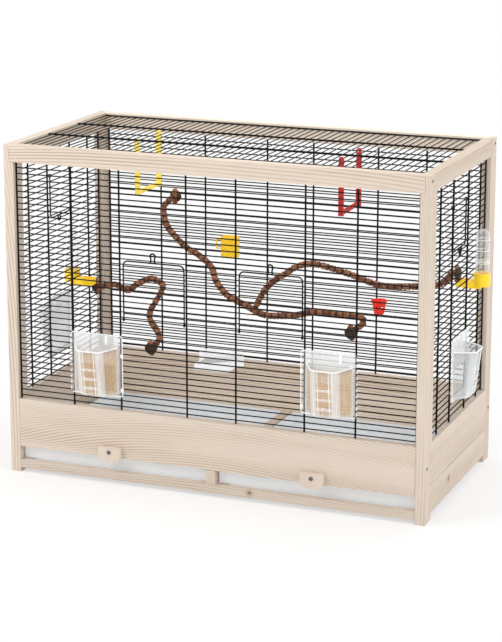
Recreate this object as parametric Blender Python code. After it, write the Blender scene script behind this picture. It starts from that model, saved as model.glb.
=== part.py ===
# Wooden bird cage: wire grilles in a timber frame, wire doors, swivel feeders, drinkers,
# pull-out trays with turn buttons, bark perches and two swings.
# Metres, +Z up, front towards -Y. The origin is the middle of the whole outline, at the feet.

import math

import bmesh
import bpy
from mathutils import Matrix, Vector

# Cage
cage_width = 0.810
cage_depth = 0.410
cage_height = 0.622
fit_gap = 0.0003
cut_beyond = 0.002
weld_inset = 0.0002
tiny_step = 0.00001

# Timber
post_width = 0.019
post_depth = 0.035
rail_thickness = 0.019
rail_height = 0.032
front_rail_lap = 0.0087
side_lap = 0.013
board_thickness = 0.014
side_board_thickness = 0.010
board_top = 0.143
front_board_bottom = 0.051
foot_height = 0.008
bottom_rail_height = 0.016
side_board_bottom = 0.013
side_board_split = 0.065
split_gap = 0.001

# Grilles
row_count = 40
row_half = 0.0009
column_half = 0.0018
edge_half = 0.0016
grille_inset = 0.009
first_row_above_board = 0.006
last_row_below_rail = 0.0106
weld_shift = 0.0006
inner_bay = 0.095
door_bay = 0.1305
feeder_bay = 0.0955
drinker_bay = 0.0775
roof_rows = 57
roof_inset = 0.005
roof_cross_spacing = 0.124

# Wire doors
door_clearance = 0.0042
door_wire_half = 0.0015
door_corner_radius = 0.008
eye_bore = 0.0016
eye_wall = 0.0020
eye_width = 0.0036
eye_sides = 10
eye_clear = 0.0008
latch_width = 0.014
latch_reach = 0.0065
front_door_first_row = 15
front_door_rows = 11
side_door_first_row = 27
side_door_rows = 8

# Feeders
feeder_rows = 10
left_feeder_first_row = 2
right_feeder_first_row = 3
side_feeder_first_row = 3
feeder_overlap = 0.0031
feeder_wall = 0.002
cup_margin = 0.006
cup_depth = 0.036
cup_rim_drop = 0.024
cup_window_sill = 0.008
cup_window_height = 0.052
cup_foot_inset = 0.0005
cup_facets = 12
plate_hinge_lap = 0.0009
clip_wall = 0.002
clip_height = 0.006
clip_rows_in = 1.5
clip_opening = 50

# Drinkers
drinker_first_row_left = 13
drinker_first_row_right = 19
tube_radius = 0.013
tube_wall = 0.0012
tube_length = 0.100
tube_sides = 16
socket_wall = 0.0022
socket_height = 0.024
socket_floor = 0.006
socket_rise = 0.007
spout_width = 0.020
spout_height = 0.014
spout_rise = 0.002
spout_reach = 0.026
seat_width = 0.010
seat_reach = 0.004
trough_depth = 0.010
trough_start = 0.0036

# Trays and their runners
tray_wall = 0.0025
tray_floor = 0.002
tray_recess = 0.015
tray_top_gap = 0.0015
tray_side_gap = 0.002
divider_width = 0.018
divider_flange = 0.013
divider_set_back = 0.0005
runner_height = 0.010
runner_width = 0.022

# Turn buttons
button_width = 0.044
button_above_pivot = 0.0085
button_below_pivot = 0.019
button_corner = 0.012
button_facets = 7
button_thickness = 0.010
button_pivot_above_slot = 0.013
button_screw_radius = 0.002
button_head_radius = 0.0045
button_head_height = 0.0024
button_head_flat = 0.6
button_screw_sides = 12
button_screw_length = 0.019
button_bore_gap = 0.00035
notch_gap = 0.0008

# Frame screws
screw_radius = 0.0016
screw_head_radius = 0.0034
screw_head_depth = 0.0024
screw_length = 0.030
screw_point = 0.003
screw_sides = 10
sink_gap = 0.0004
sink_start = 0.001
screw_edge = 0.0085
screw_top_drop = 0.011
screw_low_height = 0.102

# Swings
swing_row = 15
swing_drop = 0.097
swing_arm_width = 0.0095
swing_arm_thickness = 0.0035
swing_bar_radius = 0.0038
swing_span = 0.093
hook_radius = 0.0048
hook_end_angle = 200
hook_facets = 12
hook_lap = 0.0015
arm_lap = 0.001
bar_sides = 10
yellow_swing_middle = -0.010
red_swing_middle = -0.045

# Perches
perch_radius = 0.0062
perch_step = 0.020
knob_radius = 0.0115
knob_thickness = 0.008
knob_edge = 0.0015
knob_face = 0.8
knob_sides = 14
wing_half_width = 0.0048
wing_half_height = 0.016
end_knob_radius = 0.0125
end_knob_length = 0.014
end_knob_step = 0.0004
end_knob_taper = 0.7
fork_thinning = 0.93
wall_straight = 0.006

# Clipped holders on the rear grille
yellow_box_size = (0.032, 0.020, 0.041)
yellow_box_place = (-0.120, 0.353)
yellow_loop = (0.016, 0.018)
yellow_loop_depth = (0.006, 0.003)
yellow_loop_level = 0.80
holder_wall = 0.002
red_cup_top_radius = 0.0152
red_cup_bottom_radius = 0.0095
red_cup_height = 0.028
red_cup_place = (0.190, 0.268)
red_cup_sides = 16
red_slot_half = 0.0025
red_slot_levels = (0.3, 0.7)
red_tab_half = 0.006
red_tab_levels = (0.60, 0.98)
red_tab_depth = (0.0014, 0.0012)
ledge_plate = (0.095, 0.028)
ledge_tray = (0.070, 0.056, 0.010)
ledge_place = -0.1415
ledge_low = 0.131
ledge_wall = 0.002

half_width = cage_width / 2
half_depth = cage_depth / 2
opening_half = half_width - post_width
side_opening_half = half_depth - post_depth
rail_bottom = cage_height - rail_height
slot_bottom = foot_height + bottom_rail_height
first_row = board_top + first_row_above_board
row_pitch = (rail_bottom - last_row_below_rail - first_row) / (row_count - 1)
column_offset = row_half + fit_gap + column_half
roof_plane = cage_height - roof_inset
roof_pitch = 2 * (opening_half - 2 * fit_gap - edge_half) / (roof_rows - 1)
clip_bore = column_half * math.sqrt(2) + fit_gap
feeder_front = half_depth - grille_inset + column_offset + clip_bore + feeder_wall + cup_depth
origin_shift = (feeder_front - half_depth) / 2


# How an outline's two directions and its depth turn into X, Y and Z.
lay = {
    "X": lambda a, b, c: (c, a, b),
    "Y": lambda a, b, c: (a, c, b),
    "Z": lambda a, b, c: (a, b, c),
}


def row_height(index):
    return first_row + index * row_pitch


def clear_scene():
    for item in list(bpy.data.objects):
        bpy.data.objects.remove(item, do_unlink=True)


def material(name, colour, roughness, metallic=0.0, alpha=1.0):
    made = bpy.data.materials.new(name)
    made.use_nodes = True
    shader = made.node_tree.nodes["Principled BSDF"]
    shader.inputs["Base Color"].default_value = (*colour, 1.0)
    shader.inputs["Roughness"].default_value = roughness
    shader.inputs["Metallic"].default_value = metallic
    shader.inputs["Alpha"].default_value = alpha
    return made


def shape(mesh_name, vertices, faces):
    mesh = bpy.data.meshes.new(mesh_name)
    mesh.from_pydata([tuple(v) for v in vertices], [], faces)
    item = bpy.data.objects.new(mesh_name, mesh)
    bpy.context.scene.collection.objects.link(item)
    return item


def outward(item):
    work = bmesh.new()
    work.from_mesh(item.data)
    bmesh.ops.recalc_face_normals(work, faces=work.faces)
    work.to_mesh(item.data)
    work.free()
    return item


def blocks(spans):
    # Separate boxes in one mesh, each given by two opposite corners.
    vertices = []
    faces = []
    for low, high in spans:
        start = len(vertices)
        xs, ys, zs = (sorted(pair) for pair in zip(low, high))
        vertices += [(x, y, z) for x in xs for y in ys for z in zs]
        quads = ((0, 1, 3, 2), (4, 6, 7, 5), (0, 4, 5, 1), (2, 3, 7, 6), (0, 2, 6, 4), (1, 5, 7, 3))
        faces += [tuple(start + corner for corner in quad) for quad in quads]
    return shape("block", vertices, faces)


def prism(outline, low, high, axis="Z"):
    # An outline pushed along an axis. For Y the outline is read as (x, z).
    count = len(outline)
    vertices = [lay[axis](a, b, level) for level in (low, high) for a, b in outline]
    faces = [tuple(range(count)), tuple(range(2 * count - 1, count - 1, -1))]
    faces += [(i, (i + 1) % count, count + (i + 1) % count, count + i) for i in range(count)]
    return outward(shape("prism", vertices, faces))


def lathe(profile, sides, axis="Z"):
    # A closed solid of revolution. The profile is (radius, level), from one end of the axis to the other.
    turn = lay[axis]
    vertices = []
    rings = []
    for radius, level in profile:
        start = len(vertices)
        if radius == 0:
            vertices.append(turn(0, 0, level))
            rings.append([start])
            continue
        angles = [2 * math.pi * i / sides for i in range(sides)]
        vertices += [turn(radius * math.cos(a), radius * math.sin(a), level) for a in angles]
        rings.append(list(range(start, start + sides)))
    faces = []
    for lower, upper in zip(rings, rings[1:]):
        for i in range(sides):
            corners = [lower[i % len(lower)], lower[(i + 1) % len(lower)],
                       upper[(i + 1) % len(upper)], upper[i % len(upper)]]
            faces.append(tuple(dict.fromkeys(corners)))
    return outward(shape("lathe", vertices, faces))


def arc(centre, radius, start, end, steps):
    turns = [math.radians(start + (end - start) * i / steps) for i in range(steps + 1)]
    return [(centre[0] + radius * math.cos(t), centre[1] + radius * math.sin(t)) for t in turns]


def moved(item, offset):
    item.data.transform(Matrix.Translation(offset))
    return item


def combine(base, other, operation):
    # The other shape is cut out or added, and is gone afterwards.
    step = base.modifiers.new(operation, "BOOLEAN")
    step.object = other
    step.operation = operation
    step.solver = "EXACT"
    bpy.context.view_layer.update()
    ready = base.evaluated_get(bpy.context.evaluated_depsgraph_get())
    mesh = bpy.data.meshes.new_from_object(ready)
    base.modifiers.clear()
    base.data = mesh
    bpy.data.objects.remove(other, do_unlink=True)
    return base


def joined(base, other):
    return combine(base, other, "UNION")


def carved(base, other):
    return combine(base, other, "DIFFERENCE")


def flipped(item):
    # Mirrored across the YZ plane.
    item.data.transform(Matrix.Scale(-1, 4, Vector((1, 0, 0))))
    return outward(item)


def place(item, name, look, pivot=(0, 0, 0), angle=0.0, smooth=False):
    # The mesh is already round its own pivot, which goes to the given place in the cage.
    item.name = name
    item.data.name = name
    item.data.materials.clear()
    item.data.materials.append(look)
    if smooth:
        item.data.shade_smooth()
        item.data.set_sharp_from_angle(angle=math.radians(40))
    item.rotation_euler = (0, 0, math.radians(angle))
    item.location = pivot
    item.parent = cage_centre
    return item


def centred(item, name, look, smooth=False):
    # A fixed piece gets its origin in the middle of its own box.
    middle = sum((Vector(corner) for corner in item.bound_box), Vector()) / 8
    item.data.transform(Matrix.Translation(-middle))
    return place(item, name, look, middle, smooth=smooth)


def rod(start, end, radius, sides):
    span = Vector(end) - Vector(start)
    item = lathe([(0, 0), (radius, 0), (radius, span.length), (0, span.length)], sides)
    item.data.transform(Matrix.Translation(start) @ span.to_track_quat("Z", "Y").to_matrix().to_4x4())
    return item


def ring(inner, outer, width, sides):
    # A flat ring round the X axis.
    outline = [(outer, -width / 2), (outer, width / 2), (inner, width / 2), (inner, -width / 2)]
    vertices = []
    for i in range(sides):
        angle = 2 * math.pi * i / sides
        vertices += [(along, radius * math.cos(angle), radius * math.sin(angle)) for radius, along in outline]
    faces = []
    for i in range(sides):
        near, far = 4 * i, 4 * ((i + 1) % sides)
        faces += [(near + j, near + (j + 1) % 4, far + (j + 1) % 4, far + j) for j in range(4)]
    return outward(shape("ring", vertices, faces))


def screw_axes():
    # Where the frame screws run: side, front or rear, and the height with its name.
    levels = (("top", cage_height - screw_top_drop), ("low", screw_low_height))
    return [(sx, sy, label, level) for sx in (-1, 1) for sy in (-1, 1) for label, level in levels]


def screw_bore(sx, sy, level):
    tip = half_width - screw_length - 2 * fit_gap
    y = sy * (half_depth - screw_edge)
    start = (sx * (half_width + cut_beyond), y, level)
    return rod(start, (sx * tip, y, level), screw_radius + fit_gap, screw_sides)


def screw_sink(sx, sy, level):
    # The countersink opens in the post's outer face.
    wide = screw_head_radius + fit_gap
    depth = screw_head_depth + sink_gap
    narrow = screw_radius + fit_gap
    slope = [(0, -sink_start), (wide, -sink_start), (wide, sink_gap), (narrow, depth), (0, depth)]
    item = lathe(slope, screw_sides, "X")
    if sx > 0:
        item = flipped(item)
    return moved(item, (sx * half_width, sy * (half_depth - screw_edge), level))


def make_post(sx, sy):
    name = f"post_{'rear' if sy > 0 else 'front'}_{'right' if sx > 0 else 'left'}"
    inner_x = sx * opening_half
    inner_y = sy * side_opening_half
    body = blocks([((sx * half_width, sy * half_depth, 0), (inner_x, inner_y, cage_height))])
    past_x = inner_x - sx * cut_beyond
    past_y = inner_y - sy * cut_beyond
    past_outer = sx * (half_width + cut_beyond)
    side_seat = sy * (side_opening_half + side_lap)
    rail_lap = blocks([((sx * (opening_half + front_rail_lap), sy * (half_depth + cut_beyond), rail_bottom),
                        (past_x, sy * (half_depth - rail_thickness), cage_height + cut_beyond))])
    side_notch = blocks([((past_outer, side_seat, rail_bottom),
                          (past_x - sx * cut_beyond, past_y, cage_height + 2 * cut_beyond))])
    board_notch = blocks([((past_outer, side_seat, side_board_bottom - fit_gap),
                           (sx * (half_width - side_board_thickness), past_y, board_top + fit_gap))])
    cuts = [rail_lap, side_notch, board_notch]
    for other_x, other_y, label, level in screw_axes():
        if (other_x, other_y) == (sx, sy):
            cuts += [screw_bore(sx, sy, level), screw_sink(sx, sy, level)]
    for cut in cuts:
        body = carved(body, cut)
    return centred(body, name, wood)


def end_rail(low, high, sy, levels):
    # A front or rear timber whose ends take the frame screws.
    body = blocks([(low, high)])
    for sx in (-1, 1):
        for level in levels:
            body = carved(body, screw_bore(sx, sy, level))
    return body


def bore_button_screws(board):
    for sx in (-1, 1):
        x, z = button_spot(sx)
        depth = button_screw_length - button_thickness
        radius = button_screw_radius + fit_gap
        start = (x, -half_depth - cut_beyond, z)
        carved(board, rod(start, (x, -half_depth + depth, z), radius, button_screw_sides))


def make_frame():
    for sx in (-1, 1):
        for sy in (-1, 1):
            make_post(sx, sy)
    top_level = cage_height - screw_top_drop
    rail_end = opening_half + front_rail_lap - fit_gap
    board_end = opening_half - fit_gap
    for sy, side in ((-1, "front"), (1, "rear")):
        outer = sy * half_depth
        rail = end_rail((-rail_end, outer, rail_bottom + fit_gap),
                        (rail_end, outer - sy * (rail_thickness - fit_gap), cage_height), sy, [top_level])
        centred(rail, f"rail_top_{side}", wood)
        bottom = front_board_bottom if sy < 0 else side_board_split + split_gap / 2
        board = end_rail((-board_end, outer, bottom),
                         (board_end, outer - sy * board_thickness, board_top), sy, [screw_low_height])
        if sy < 0:
            bore_button_screws(board)
        centred(board, f"board_{side}_upper", wood)
    lower = blocks([((-board_end, -half_depth, foot_height),
                     (board_end, -half_depth + board_thickness, slot_bottom))])
    centred(lower, "rail_bottom_front", wood)
    lower = blocks([((-board_end, half_depth, side_board_bottom),
                     (board_end, half_depth - board_thickness, side_board_split - split_gap / 2))])
    centred(lower, "board_rear_lower", wood)
    reach = side_opening_half + side_lap - fit_gap
    for sx, side in ((-1, "left"), (1, "right")):
        outer = sx * half_width
        inner = sx * (half_width - side_board_thickness + fit_gap)
        rail = blocks([((outer, -reach, rail_bottom + fit_gap),
                        (sx * opening_half, reach, cage_height))])
        centred(rail, f"rail_top_{side}", wood)
        lower = blocks([((outer, -reach, side_board_bottom), (inner, reach, side_board_split - split_gap / 2))])
        centred(lower, f"board_{side}_lower", wood)
        upper = blocks([((outer, -reach, side_board_split + split_gap / 2), (inner, reach, board_top))])
        centred(upper, f"board_{side}_upper", wood)


def make_frame_screws():
    profile = [(0, fit_gap), (screw_head_radius, fit_gap), (screw_radius, screw_head_depth),
               (screw_radius, screw_length - screw_point), (0, screw_length)]
    for sx, sy, label, level in screw_axes():
        item = lathe(profile, screw_sides, "X")
        if sx > 0:
            item = flipped(item)
        name = f"screw_{'right' if sx > 0 else 'left'}_{'rear' if sy > 0 else 'front'}_{label}"
        place(item, name, steel, (sx * half_width, sy * (half_depth - screw_edge), level), smooth=True)


def grille_mesh(rows, columns, edges, column_ends, openings):
    # Rows run along X at heights Z, columns along Z in front of them. An opening is
    # (left, right, first row, last row) and stops the rows between its two columns.
    row_bars = []
    last = len(rows) - 1
    for index, height in enumerate(rows):
        gaps = sorted((left, right) for left, right, first, end in openings if first <= index <= end)
        shift = -weld_shift if gaps or index in (0, last) else 0.0
        starts = [-edges] + [right - column_half / 3 for left, right in gaps]
        ends = [left + column_half / 3 for left, right in gaps] + [edges]
        for start, end in zip(starts, ends):
            row_bars.append(((start, shift - row_half, height - row_half),
                             (end, shift + row_half, height + row_half)))
    low, high = column_ends
    column_bars = [((c - column_half, -column_offset - column_half, low),
                    (c + column_half, -column_offset + column_half, high)) for c in columns]
    column_bars += [((side * edges - edge_half, -edge_half, low), (side * edges + edge_half, edge_half, high))
                    for side in (-1, 1)]
    return joined(blocks(row_bars), blocks(column_bars))


def front_columns():
    door_edge = inner_bay / 2 + door_bay
    return [inner_bay / 2, door_edge, door_edge + feeder_bay]


def side_columns():
    return [inner_bay / 2, inner_bay / 2 + drinker_bay]


wall_turn = {"front": 0, "right": 90, "rear": 180, "left": -90}


def wall_plane(side):
    return (half_depth if side in ("front", "rear") else half_width) - grille_inset


def on_wall(side, along, height, out=0.0):
    # A place on a wall: along it as seen from outside, up, and out from the plane of its rows.
    turn = Matrix.Rotation(math.radians(wall_turn[side]), 3, "Z")
    return turn @ Vector((along, -wall_plane(side) - out, height))


def make_wall_grille(side):
    rows = [row_height(i) for i in range(row_count)]
    openings = []
    if side in ("front", "rear"):
        columns = front_columns()
        edges = opening_half - fit_gap - edge_half
    else:
        columns = side_columns()
        edges = side_opening_half - fit_gap - edge_half
    if side == "front":
        for left, right in ((-columns[1], -columns[0]), (columns[0], columns[1])):
            openings.append((left, right, front_door_first_row + 1, front_door_first_row + front_door_rows - 1))
        bays = ((-columns[2], -columns[1], left_feeder_first_row), (columns[1], columns[2], right_feeder_first_row))
        openings += [(left, right, first + 1, first + feeder_rows - 1) for left, right, first in bays]
    if side in ("left", "right"):
        middle = (-columns[0], columns[0])
        openings.append((*middle, side_door_first_row + 1, side_door_first_row + side_door_rows - 1))
        openings.append((*middle, side_feeder_first_row + 1, side_feeder_first_row + feeder_rows - 1))
        row = drinker_row(side) + 1
        bay = (columns[0], columns[1]) if side == "right" else (-columns[1], -columns[0])
        openings.append((*bay, row, row))
    spots = sorted([-c for c in columns] + columns)
    mesh = grille_mesh(rows, spots, edges, (board_top + fit_gap, rail_bottom), openings)
    place(mesh, f"grille_{side}", wire, on_wall(side, 0, 0), wall_turn[side])


def make_roof_grille():
    ends = half_depth - rail_thickness - fit_gap - edge_half
    half_roof = roof_pitch * (roof_rows - 1) / 2
    rows = [roof_pitch * i - half_roof for i in range(roof_rows)]
    columns = (-roof_cross_spacing / 2, roof_cross_spacing / 2)
    reach = half_roof + edge_half
    mesh = grille_mesh(rows, columns, ends, (-reach, reach), [])
    mesh.data.transform(Matrix(((0, 0, 1, 0), (1, 0, 0, 0), (0, -1, 0, 0), (0, 0, 0, 1))))
    place(outward(mesh), "grille_roof", wire, (0, 0, roof_plane))


def rounded_frame(left, right, low, high, radius):
    outline = arc((right - radius, high - radius), radius, 0, 90, 3)
    outline += arc((left + radius, high - radius), radius, 90, 180, 3)
    outline += [(left, low), (right, low)]
    return outline


def make_door(name, side, along, bay, first, rows, hinge_low):
    # The pivot is the row that the eyes turn on: the lowest one, or the highest where it hangs.
    # The frame's wire is open on that side and its two ends are bent into the eyes.
    half = bay / 2 - door_clearance
    hinge_row = first if hinge_low else first + rows
    hinge = row_height(hinge_row)
    near = eye_bore + eye_clear
    far = (rows - 1) * row_pitch if hinge_low else rows * row_pitch - 3 * door_wire_half
    outer = rounded_frame(-half, half, near, far, door_corner_radius)
    inset = 2 * door_wire_half
    inner = rounded_frame(-half + inset, half - inset, near - cut_beyond, far - inset, door_corner_radius - inset)
    body = prism(outer, -door_wire_half, door_wire_half, "Y")
    body = carved(body, prism(inner, -2 * door_wire_half, 2 * door_wire_half, "Y"))
    reach = half - door_wire_half
    levels = [row_pitch * i for i in range(1, rows) if row_pitch * i + row_half < far - inset]
    bars = blocks([((-reach, -row_half, z - row_half), (reach, row_half, z + row_half)) for z in levels])
    body = joined(body, bars)
    for sx in (-1, 1):
        eye = ring(eye_bore, eye_bore + eye_wall, eye_width, eye_sides)
        body = joined(body, moved(eye, (sx * reach, 0, 0)))
    over = rows * row_pitch + latch_reach
    back = -(row_half + fit_gap)
    front = back - 2 * row_half
    post = 2 * row_half
    legs = blocks([((sx * latch_width / 2, front, far - door_wire_half),
                    (sx * (latch_width / 2 - post), back, over)) for sx in (-1, 1)])
    body = joined(body, legs)
    span = latch_width / 2 - post / 2
    body = joined(body, blocks([((-span, front + weld_inset, over - post),
                                 (span, back - weld_inset, over - weld_inset))]))
    if not hinge_low:
        body.data.transform(Matrix.Scale(-1, 4, Vector((0, 0, 1))))
        outward(body)
    place(body, name, wire, on_wall(side, along, hinge), wall_turn[side])


def half_ellipse(centre, half_across, depth, steps):
    turns = [math.pi * i / steps for i in range(steps + 1)]
    return [(centre + half_across * math.cos(t), -depth * math.sin(t)) for t in turns]


def clip(bore, outer, height, level):
    # A snap clip round an upright wire, open on the cage side.
    first_angle = 90 + clip_opening
    last_angle = 450 - clip_opening
    outline = arc((0, 0), outer, first_angle, last_angle, 10)
    outline += arc((0, 0), bore, last_angle, first_angle, 10)
    return prism(outline, level - height / 2, level + height / 2)


def feeder_cup(face, low, rim):
    # Half an ellipse in plan: the cup's outer form and the room inside it.
    centre = feeder_bay / 2
    half = feeder_bay / 2 - cup_margin
    outer = [(x, face + y) for x, y in half_ellipse(centre, half, cup_depth, cup_facets)]
    outer = [(outer[0][0], face + feeder_wall / 2)] + outer + [(outer[-1][0], face + feeder_wall / 2)]
    room = half_ellipse(centre, half - feeder_wall, cup_depth - feeder_wall, cup_facets)
    inner = [(x, face + y) for x, y in room]
    inner = [(inner[0][0], face + tiny_step)] + inner[1:-1] + [(inner[-1][0], face + tiny_step)]
    return prism(outer, low + cup_foot_inset, rim), prism(inner, low + feeder_wall, rim + cut_beyond)


def make_feeder(name, side, along, first, hand):
    # The pivot is the upright wire that the clips turn on, at the height of the first row.
    height = feeder_rows * row_pitch + 2 * feeder_overlap
    low = -feeder_overlap
    back = -clip_bore
    face = back - feeder_wall
    body = blocks([((-plate_hinge_lap, face, low), (feeder_bay + feeder_overlap, back, low + height))])
    cup, room = feeder_cup(face, low, low + height - cup_rim_drop)
    body = carved(joined(body, cup), room)
    centre = feeder_bay / 2
    reach = feeder_bay / 2 - cup_margin - 2 * feeder_wall
    sill = low + cup_window_sill
    window = blocks([((centre - reach, face - cut_beyond, sill),
                      (centre + reach, back + cut_beyond, sill + cup_window_height))])
    body = carved(body, window)
    for step in (clip_rows_in, feeder_rows - clip_rows_in):
        body = joined(body, clip(clip_bore, clip_bore + clip_wall, clip_height, step * row_pitch))
    if hand < 0:
        body = flipped(body)
    place(body, name, clear, on_wall(side, along, row_height(first), column_offset), wall_turn[side])


def drinker_row(side):
    return drinker_first_row_right if side == "right" else drinker_first_row_left


def make_drinker_base(side, along, out):
    # The pivot is on the row that the spout lies on, in the middle of the bay.
    over_row = row_half + fit_gap
    base = over_row + socket_rise
    top = base + socket_height
    spout_floor = over_row + spout_rise
    spout_top = spout_floor + spout_height
    seat = tube_radius + fit_gap
    socket = seat + socket_wall
    body = moved(lathe([(0, base), (socket, base), (socket, top), (0, top)], tube_sides), (0, -out, 0))
    body = joined(body, blocks([((-spout_width / 2, -out, spout_floor + weld_inset),
                                 (spout_width / 2, spout_reach, spout_top))]))
    body = joined(body, blocks([((-seat_width / 2, -seat_reach, over_row),
                                 (seat_width / 2, seat_reach, spout_floor + 2 * weld_inset))]))
    floor = base + socket_floor
    above = top + cut_beyond
    bore = lathe([(0, floor), (seat, floor), (seat, above), (0, above)], tube_sides)
    body = carved(body, moved(bore, (0, -out, 0)))
    inner = spout_width / 2 - socket_wall
    body = carved(body, blocks([((-inner, trough_start, spout_top - trough_depth),
                                 (inner, spout_reach - socket_wall, spout_top + cut_beyond))]))
    pivot = on_wall(side, along, row_height(drinker_row(side)))
    place(body, f"drinker_base_{side}", yellow, pivot, wall_turn[side])


def domed(radius, top):
    # The rounded upper end of a tube, from its side to near its middle.
    angles = [math.radians(a) for a in (0, 30, 60)]
    return [(radius * math.cos(a), top - tube_radius * (1 - math.sin(a))) for a in angles]


def make_drinker_tube(side, along, out):
    bell = tube_radius - tube_wall
    outer = lathe([(0, 0), (tube_radius, 0)] + domed(tube_radius, tube_length) + [(0, tube_length)], tube_sides)
    crown = tube_length - tube_wall
    inner = lathe([(0, -cut_beyond), (bell, -cut_beyond)] + domed(bell, crown) + [(0, crown)], tube_sides)
    foot = row_height(drinker_row(side)) + row_half + socket_rise + socket_floor + 2 * fit_gap
    spot = on_wall(side, along, foot, out)
    place(carved(outer, inner), f"drinker_tube_{side}", clear, spot, wall_turn[side], smooth=True)


def make_drinker(side, hand):
    along = hand * (inner_bay + drinker_bay) / 2
    out = column_offset + column_half + tube_radius + socket_wall + 2 * fit_gap
    make_drinker_base(side, along, out)
    make_drinker_tube(side, along, out)


def button_spot(sx):
    return sx * (divider_width / 2 + opening_half) / 2, front_board_bottom + button_pivot_above_slot


def button_outline(grow=0.0):
    half = button_width / 2 + grow
    bend = button_corner + grow
    low = bend - button_below_pivot - grow
    outline = [(half, button_above_pivot)] + arc((half - bend, low), bend, 0, -90, button_facets)
    return outline + arc((bend - half, low), bend, -90, -180, button_facets) + [(-half, button_above_pivot)]


def make_button(sx, side):
    x, z = button_spot(sx)
    front = -half_depth - fit_gap
    bore = button_screw_radius + button_bore_gap
    body = prism(button_outline(), -button_thickness, 0, "Y")
    hole = rod((0, -2 * button_thickness, 0), (0, button_thickness, 0), bore, button_screw_sides)
    place(carved(body, hole), f"turn_button_{side}", wood, (x, front, z))
    head = -button_thickness - fit_gap
    tail = head + button_screw_length
    crown = head - button_head_height
    profile = [(0, crown), (button_head_radius * button_head_flat, crown),
               (button_head_radius, head - button_head_height / 2), (button_head_radius, head),
               (button_screw_radius, head), (button_screw_radius, tail), (0, tail)]
    item = lathe(profile, button_screw_sides, "Y")
    place(item, f"turn_button_screw_{side}", steel, (x, front, z), smooth=True)


def make_tray(sx, side):
    x_near = sx * (divider_width / 2 + tray_side_gap)
    x_far = sx * (opening_half - tray_side_gap)
    front = -half_depth + tray_recess
    back = half_depth - board_thickness - 2 * tray_side_gap
    low = slot_bottom + fit_gap
    high = front_board_bottom - tray_top_gap
    body = blocks([((x_near, front, low), (x_far, back, high))])
    hollow = blocks([((x_near + sx * tray_wall, front + tray_wall, low + tray_floor),
                      (x_far - sx * tray_wall, back - tray_wall, high + cut_beyond))])
    x, z = button_spot(sx)
    outline = [(x + a, z + b) for a, b in button_outline(notch_gap)]
    notch = prism(outline, front - cut_beyond, front + tray_wall + cut_beyond, "Y")
    body = carved(carved(body, hollow), notch)
    centred(body, f"tray_{side}", grey)


def make_runners():
    front = -half_depth + board_thickness + fit_gap
    rear = half_depth - board_thickness - fit_gap
    low = slot_bottom - runner_height
    web = divider_width / 2
    flange = web + divider_flange
    top = front_board_bottom - fit_gap
    outline = [(-flange, low), (flange, low), (flange, slot_bottom), (web, slot_bottom), (web, top),
               (-web, top), (-web, slot_bottom), (-flange, slot_bottom)]
    body = prism(outline, front, rear, "Y")
    nose = blocks([((-web + weld_inset, -half_depth + divider_set_back, slot_bottom + fit_gap),
                    (web - weld_inset, front + cut_beyond, top - weld_inset))])
    centred(joined(body, nose), "tray_divider", wood)
    for sx, side in ((-1, "left"), (1, "right")):
        outer = half_width - side_board_thickness
        reach = side_opening_half - fit_gap
        item = blocks([((sx * outer, -reach, low), (sx * (outer - runner_width), reach, slot_bottom))])
        centred(item, f"tray_runner_{side}", wood)


def make_swing(name, look, sx, middle):
    # The pivot is the roof wire that the hooks hang on.
    half = swing_span / 2
    body = rod((0, -half, -swing_drop), (0, half, -swing_drop), swing_bar_radius, bar_sides)
    bore = row_half * math.sqrt(2) + fit_gap
    for sy in (-1, 1):
        near = sy * half
        far = sy * (half + swing_arm_thickness)
        arm = blocks([((-swing_arm_width / 2, near - sy * arm_lap, -swing_drop - swing_bar_radius - arm_lap),
                       (swing_arm_width / 2, far, -hook_radius + hook_lap))])
        bend = arc((0, 0), hook_radius, -90, hook_end_angle, hook_facets)
        bend += arc((0, 0), bore, hook_end_angle, -90, hook_facets)
        sides = sorted((near + sy * weld_inset, far - sy * weld_inset))
        arm = joined(arm, prism(bend, *sides, "Y"))
        body = joined(body, arm)
    spot = (sx * (swing_row * roof_pitch), middle, roof_plane)
    place(body, name, look, spot, smooth=True)


def smooth_path(points, step):
    # A curve through every point, cut into lengths of about one step.
    path = [Vector(p) for p in points]
    padded = [2 * path[0] - path[1]] + path + [2 * path[-1] - path[-2]]
    found = []
    for a, b, c, d in zip(padded, padded[1:], padded[2:], padded[3:]):
        count = max(1, round((c - b).length / step))
        for i in range(count):
            t = i / count
            found.append(0.5 * (2 * b + (c - a) * t + (2 * a - 5 * b + 4 * c - d) * t * t
                                + (3 * b - a - 3 * c + d) * t ** 3))
    return found + [path[-1]]


def branch(points, radii):
    curve = bpy.data.curves.new("branch", "CURVE")
    curve.dimensions = "3D"
    curve.bevel_depth = 1.0
    curve.bevel_resolution = 2
    curve.use_fill_caps = True
    line = curve.splines.new("POLY")
    line.points.add(len(points) - 1)
    for spot, position, radius in zip(line.points, points, radii):
        spot.co = (*position, 1)
        spot.radius = radius
    holder = bpy.data.objects.new("branch", curve)
    bpy.context.scene.collection.objects.link(holder)
    bpy.context.view_layer.update()
    ready = holder.evaluated_get(bpy.context.evaluated_depsgraph_get())
    item = bpy.data.objects.new("branch", bpy.data.meshes.new_from_object(ready))
    bpy.context.scene.collection.objects.link(item)
    bpy.data.objects.remove(holder, do_unlink=True)
    work = bmesh.new()
    work.from_mesh(item.data)
    bmesh.ops.remove_doubles(work, verts=work.verts, dist=0.00001)
    bmesh.ops.recalc_face_normals(work, faces=work.faces)
    work.to_mesh(item.data)
    work.free()
    return item


def wing():
    # The upright bar across a knob, which is turned by it.
    return blocks([((-wing_half_width, knob_edge, -wing_half_height),
                    (wing_half_width, knob_thickness - knob_edge, wing_half_height))])


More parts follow.
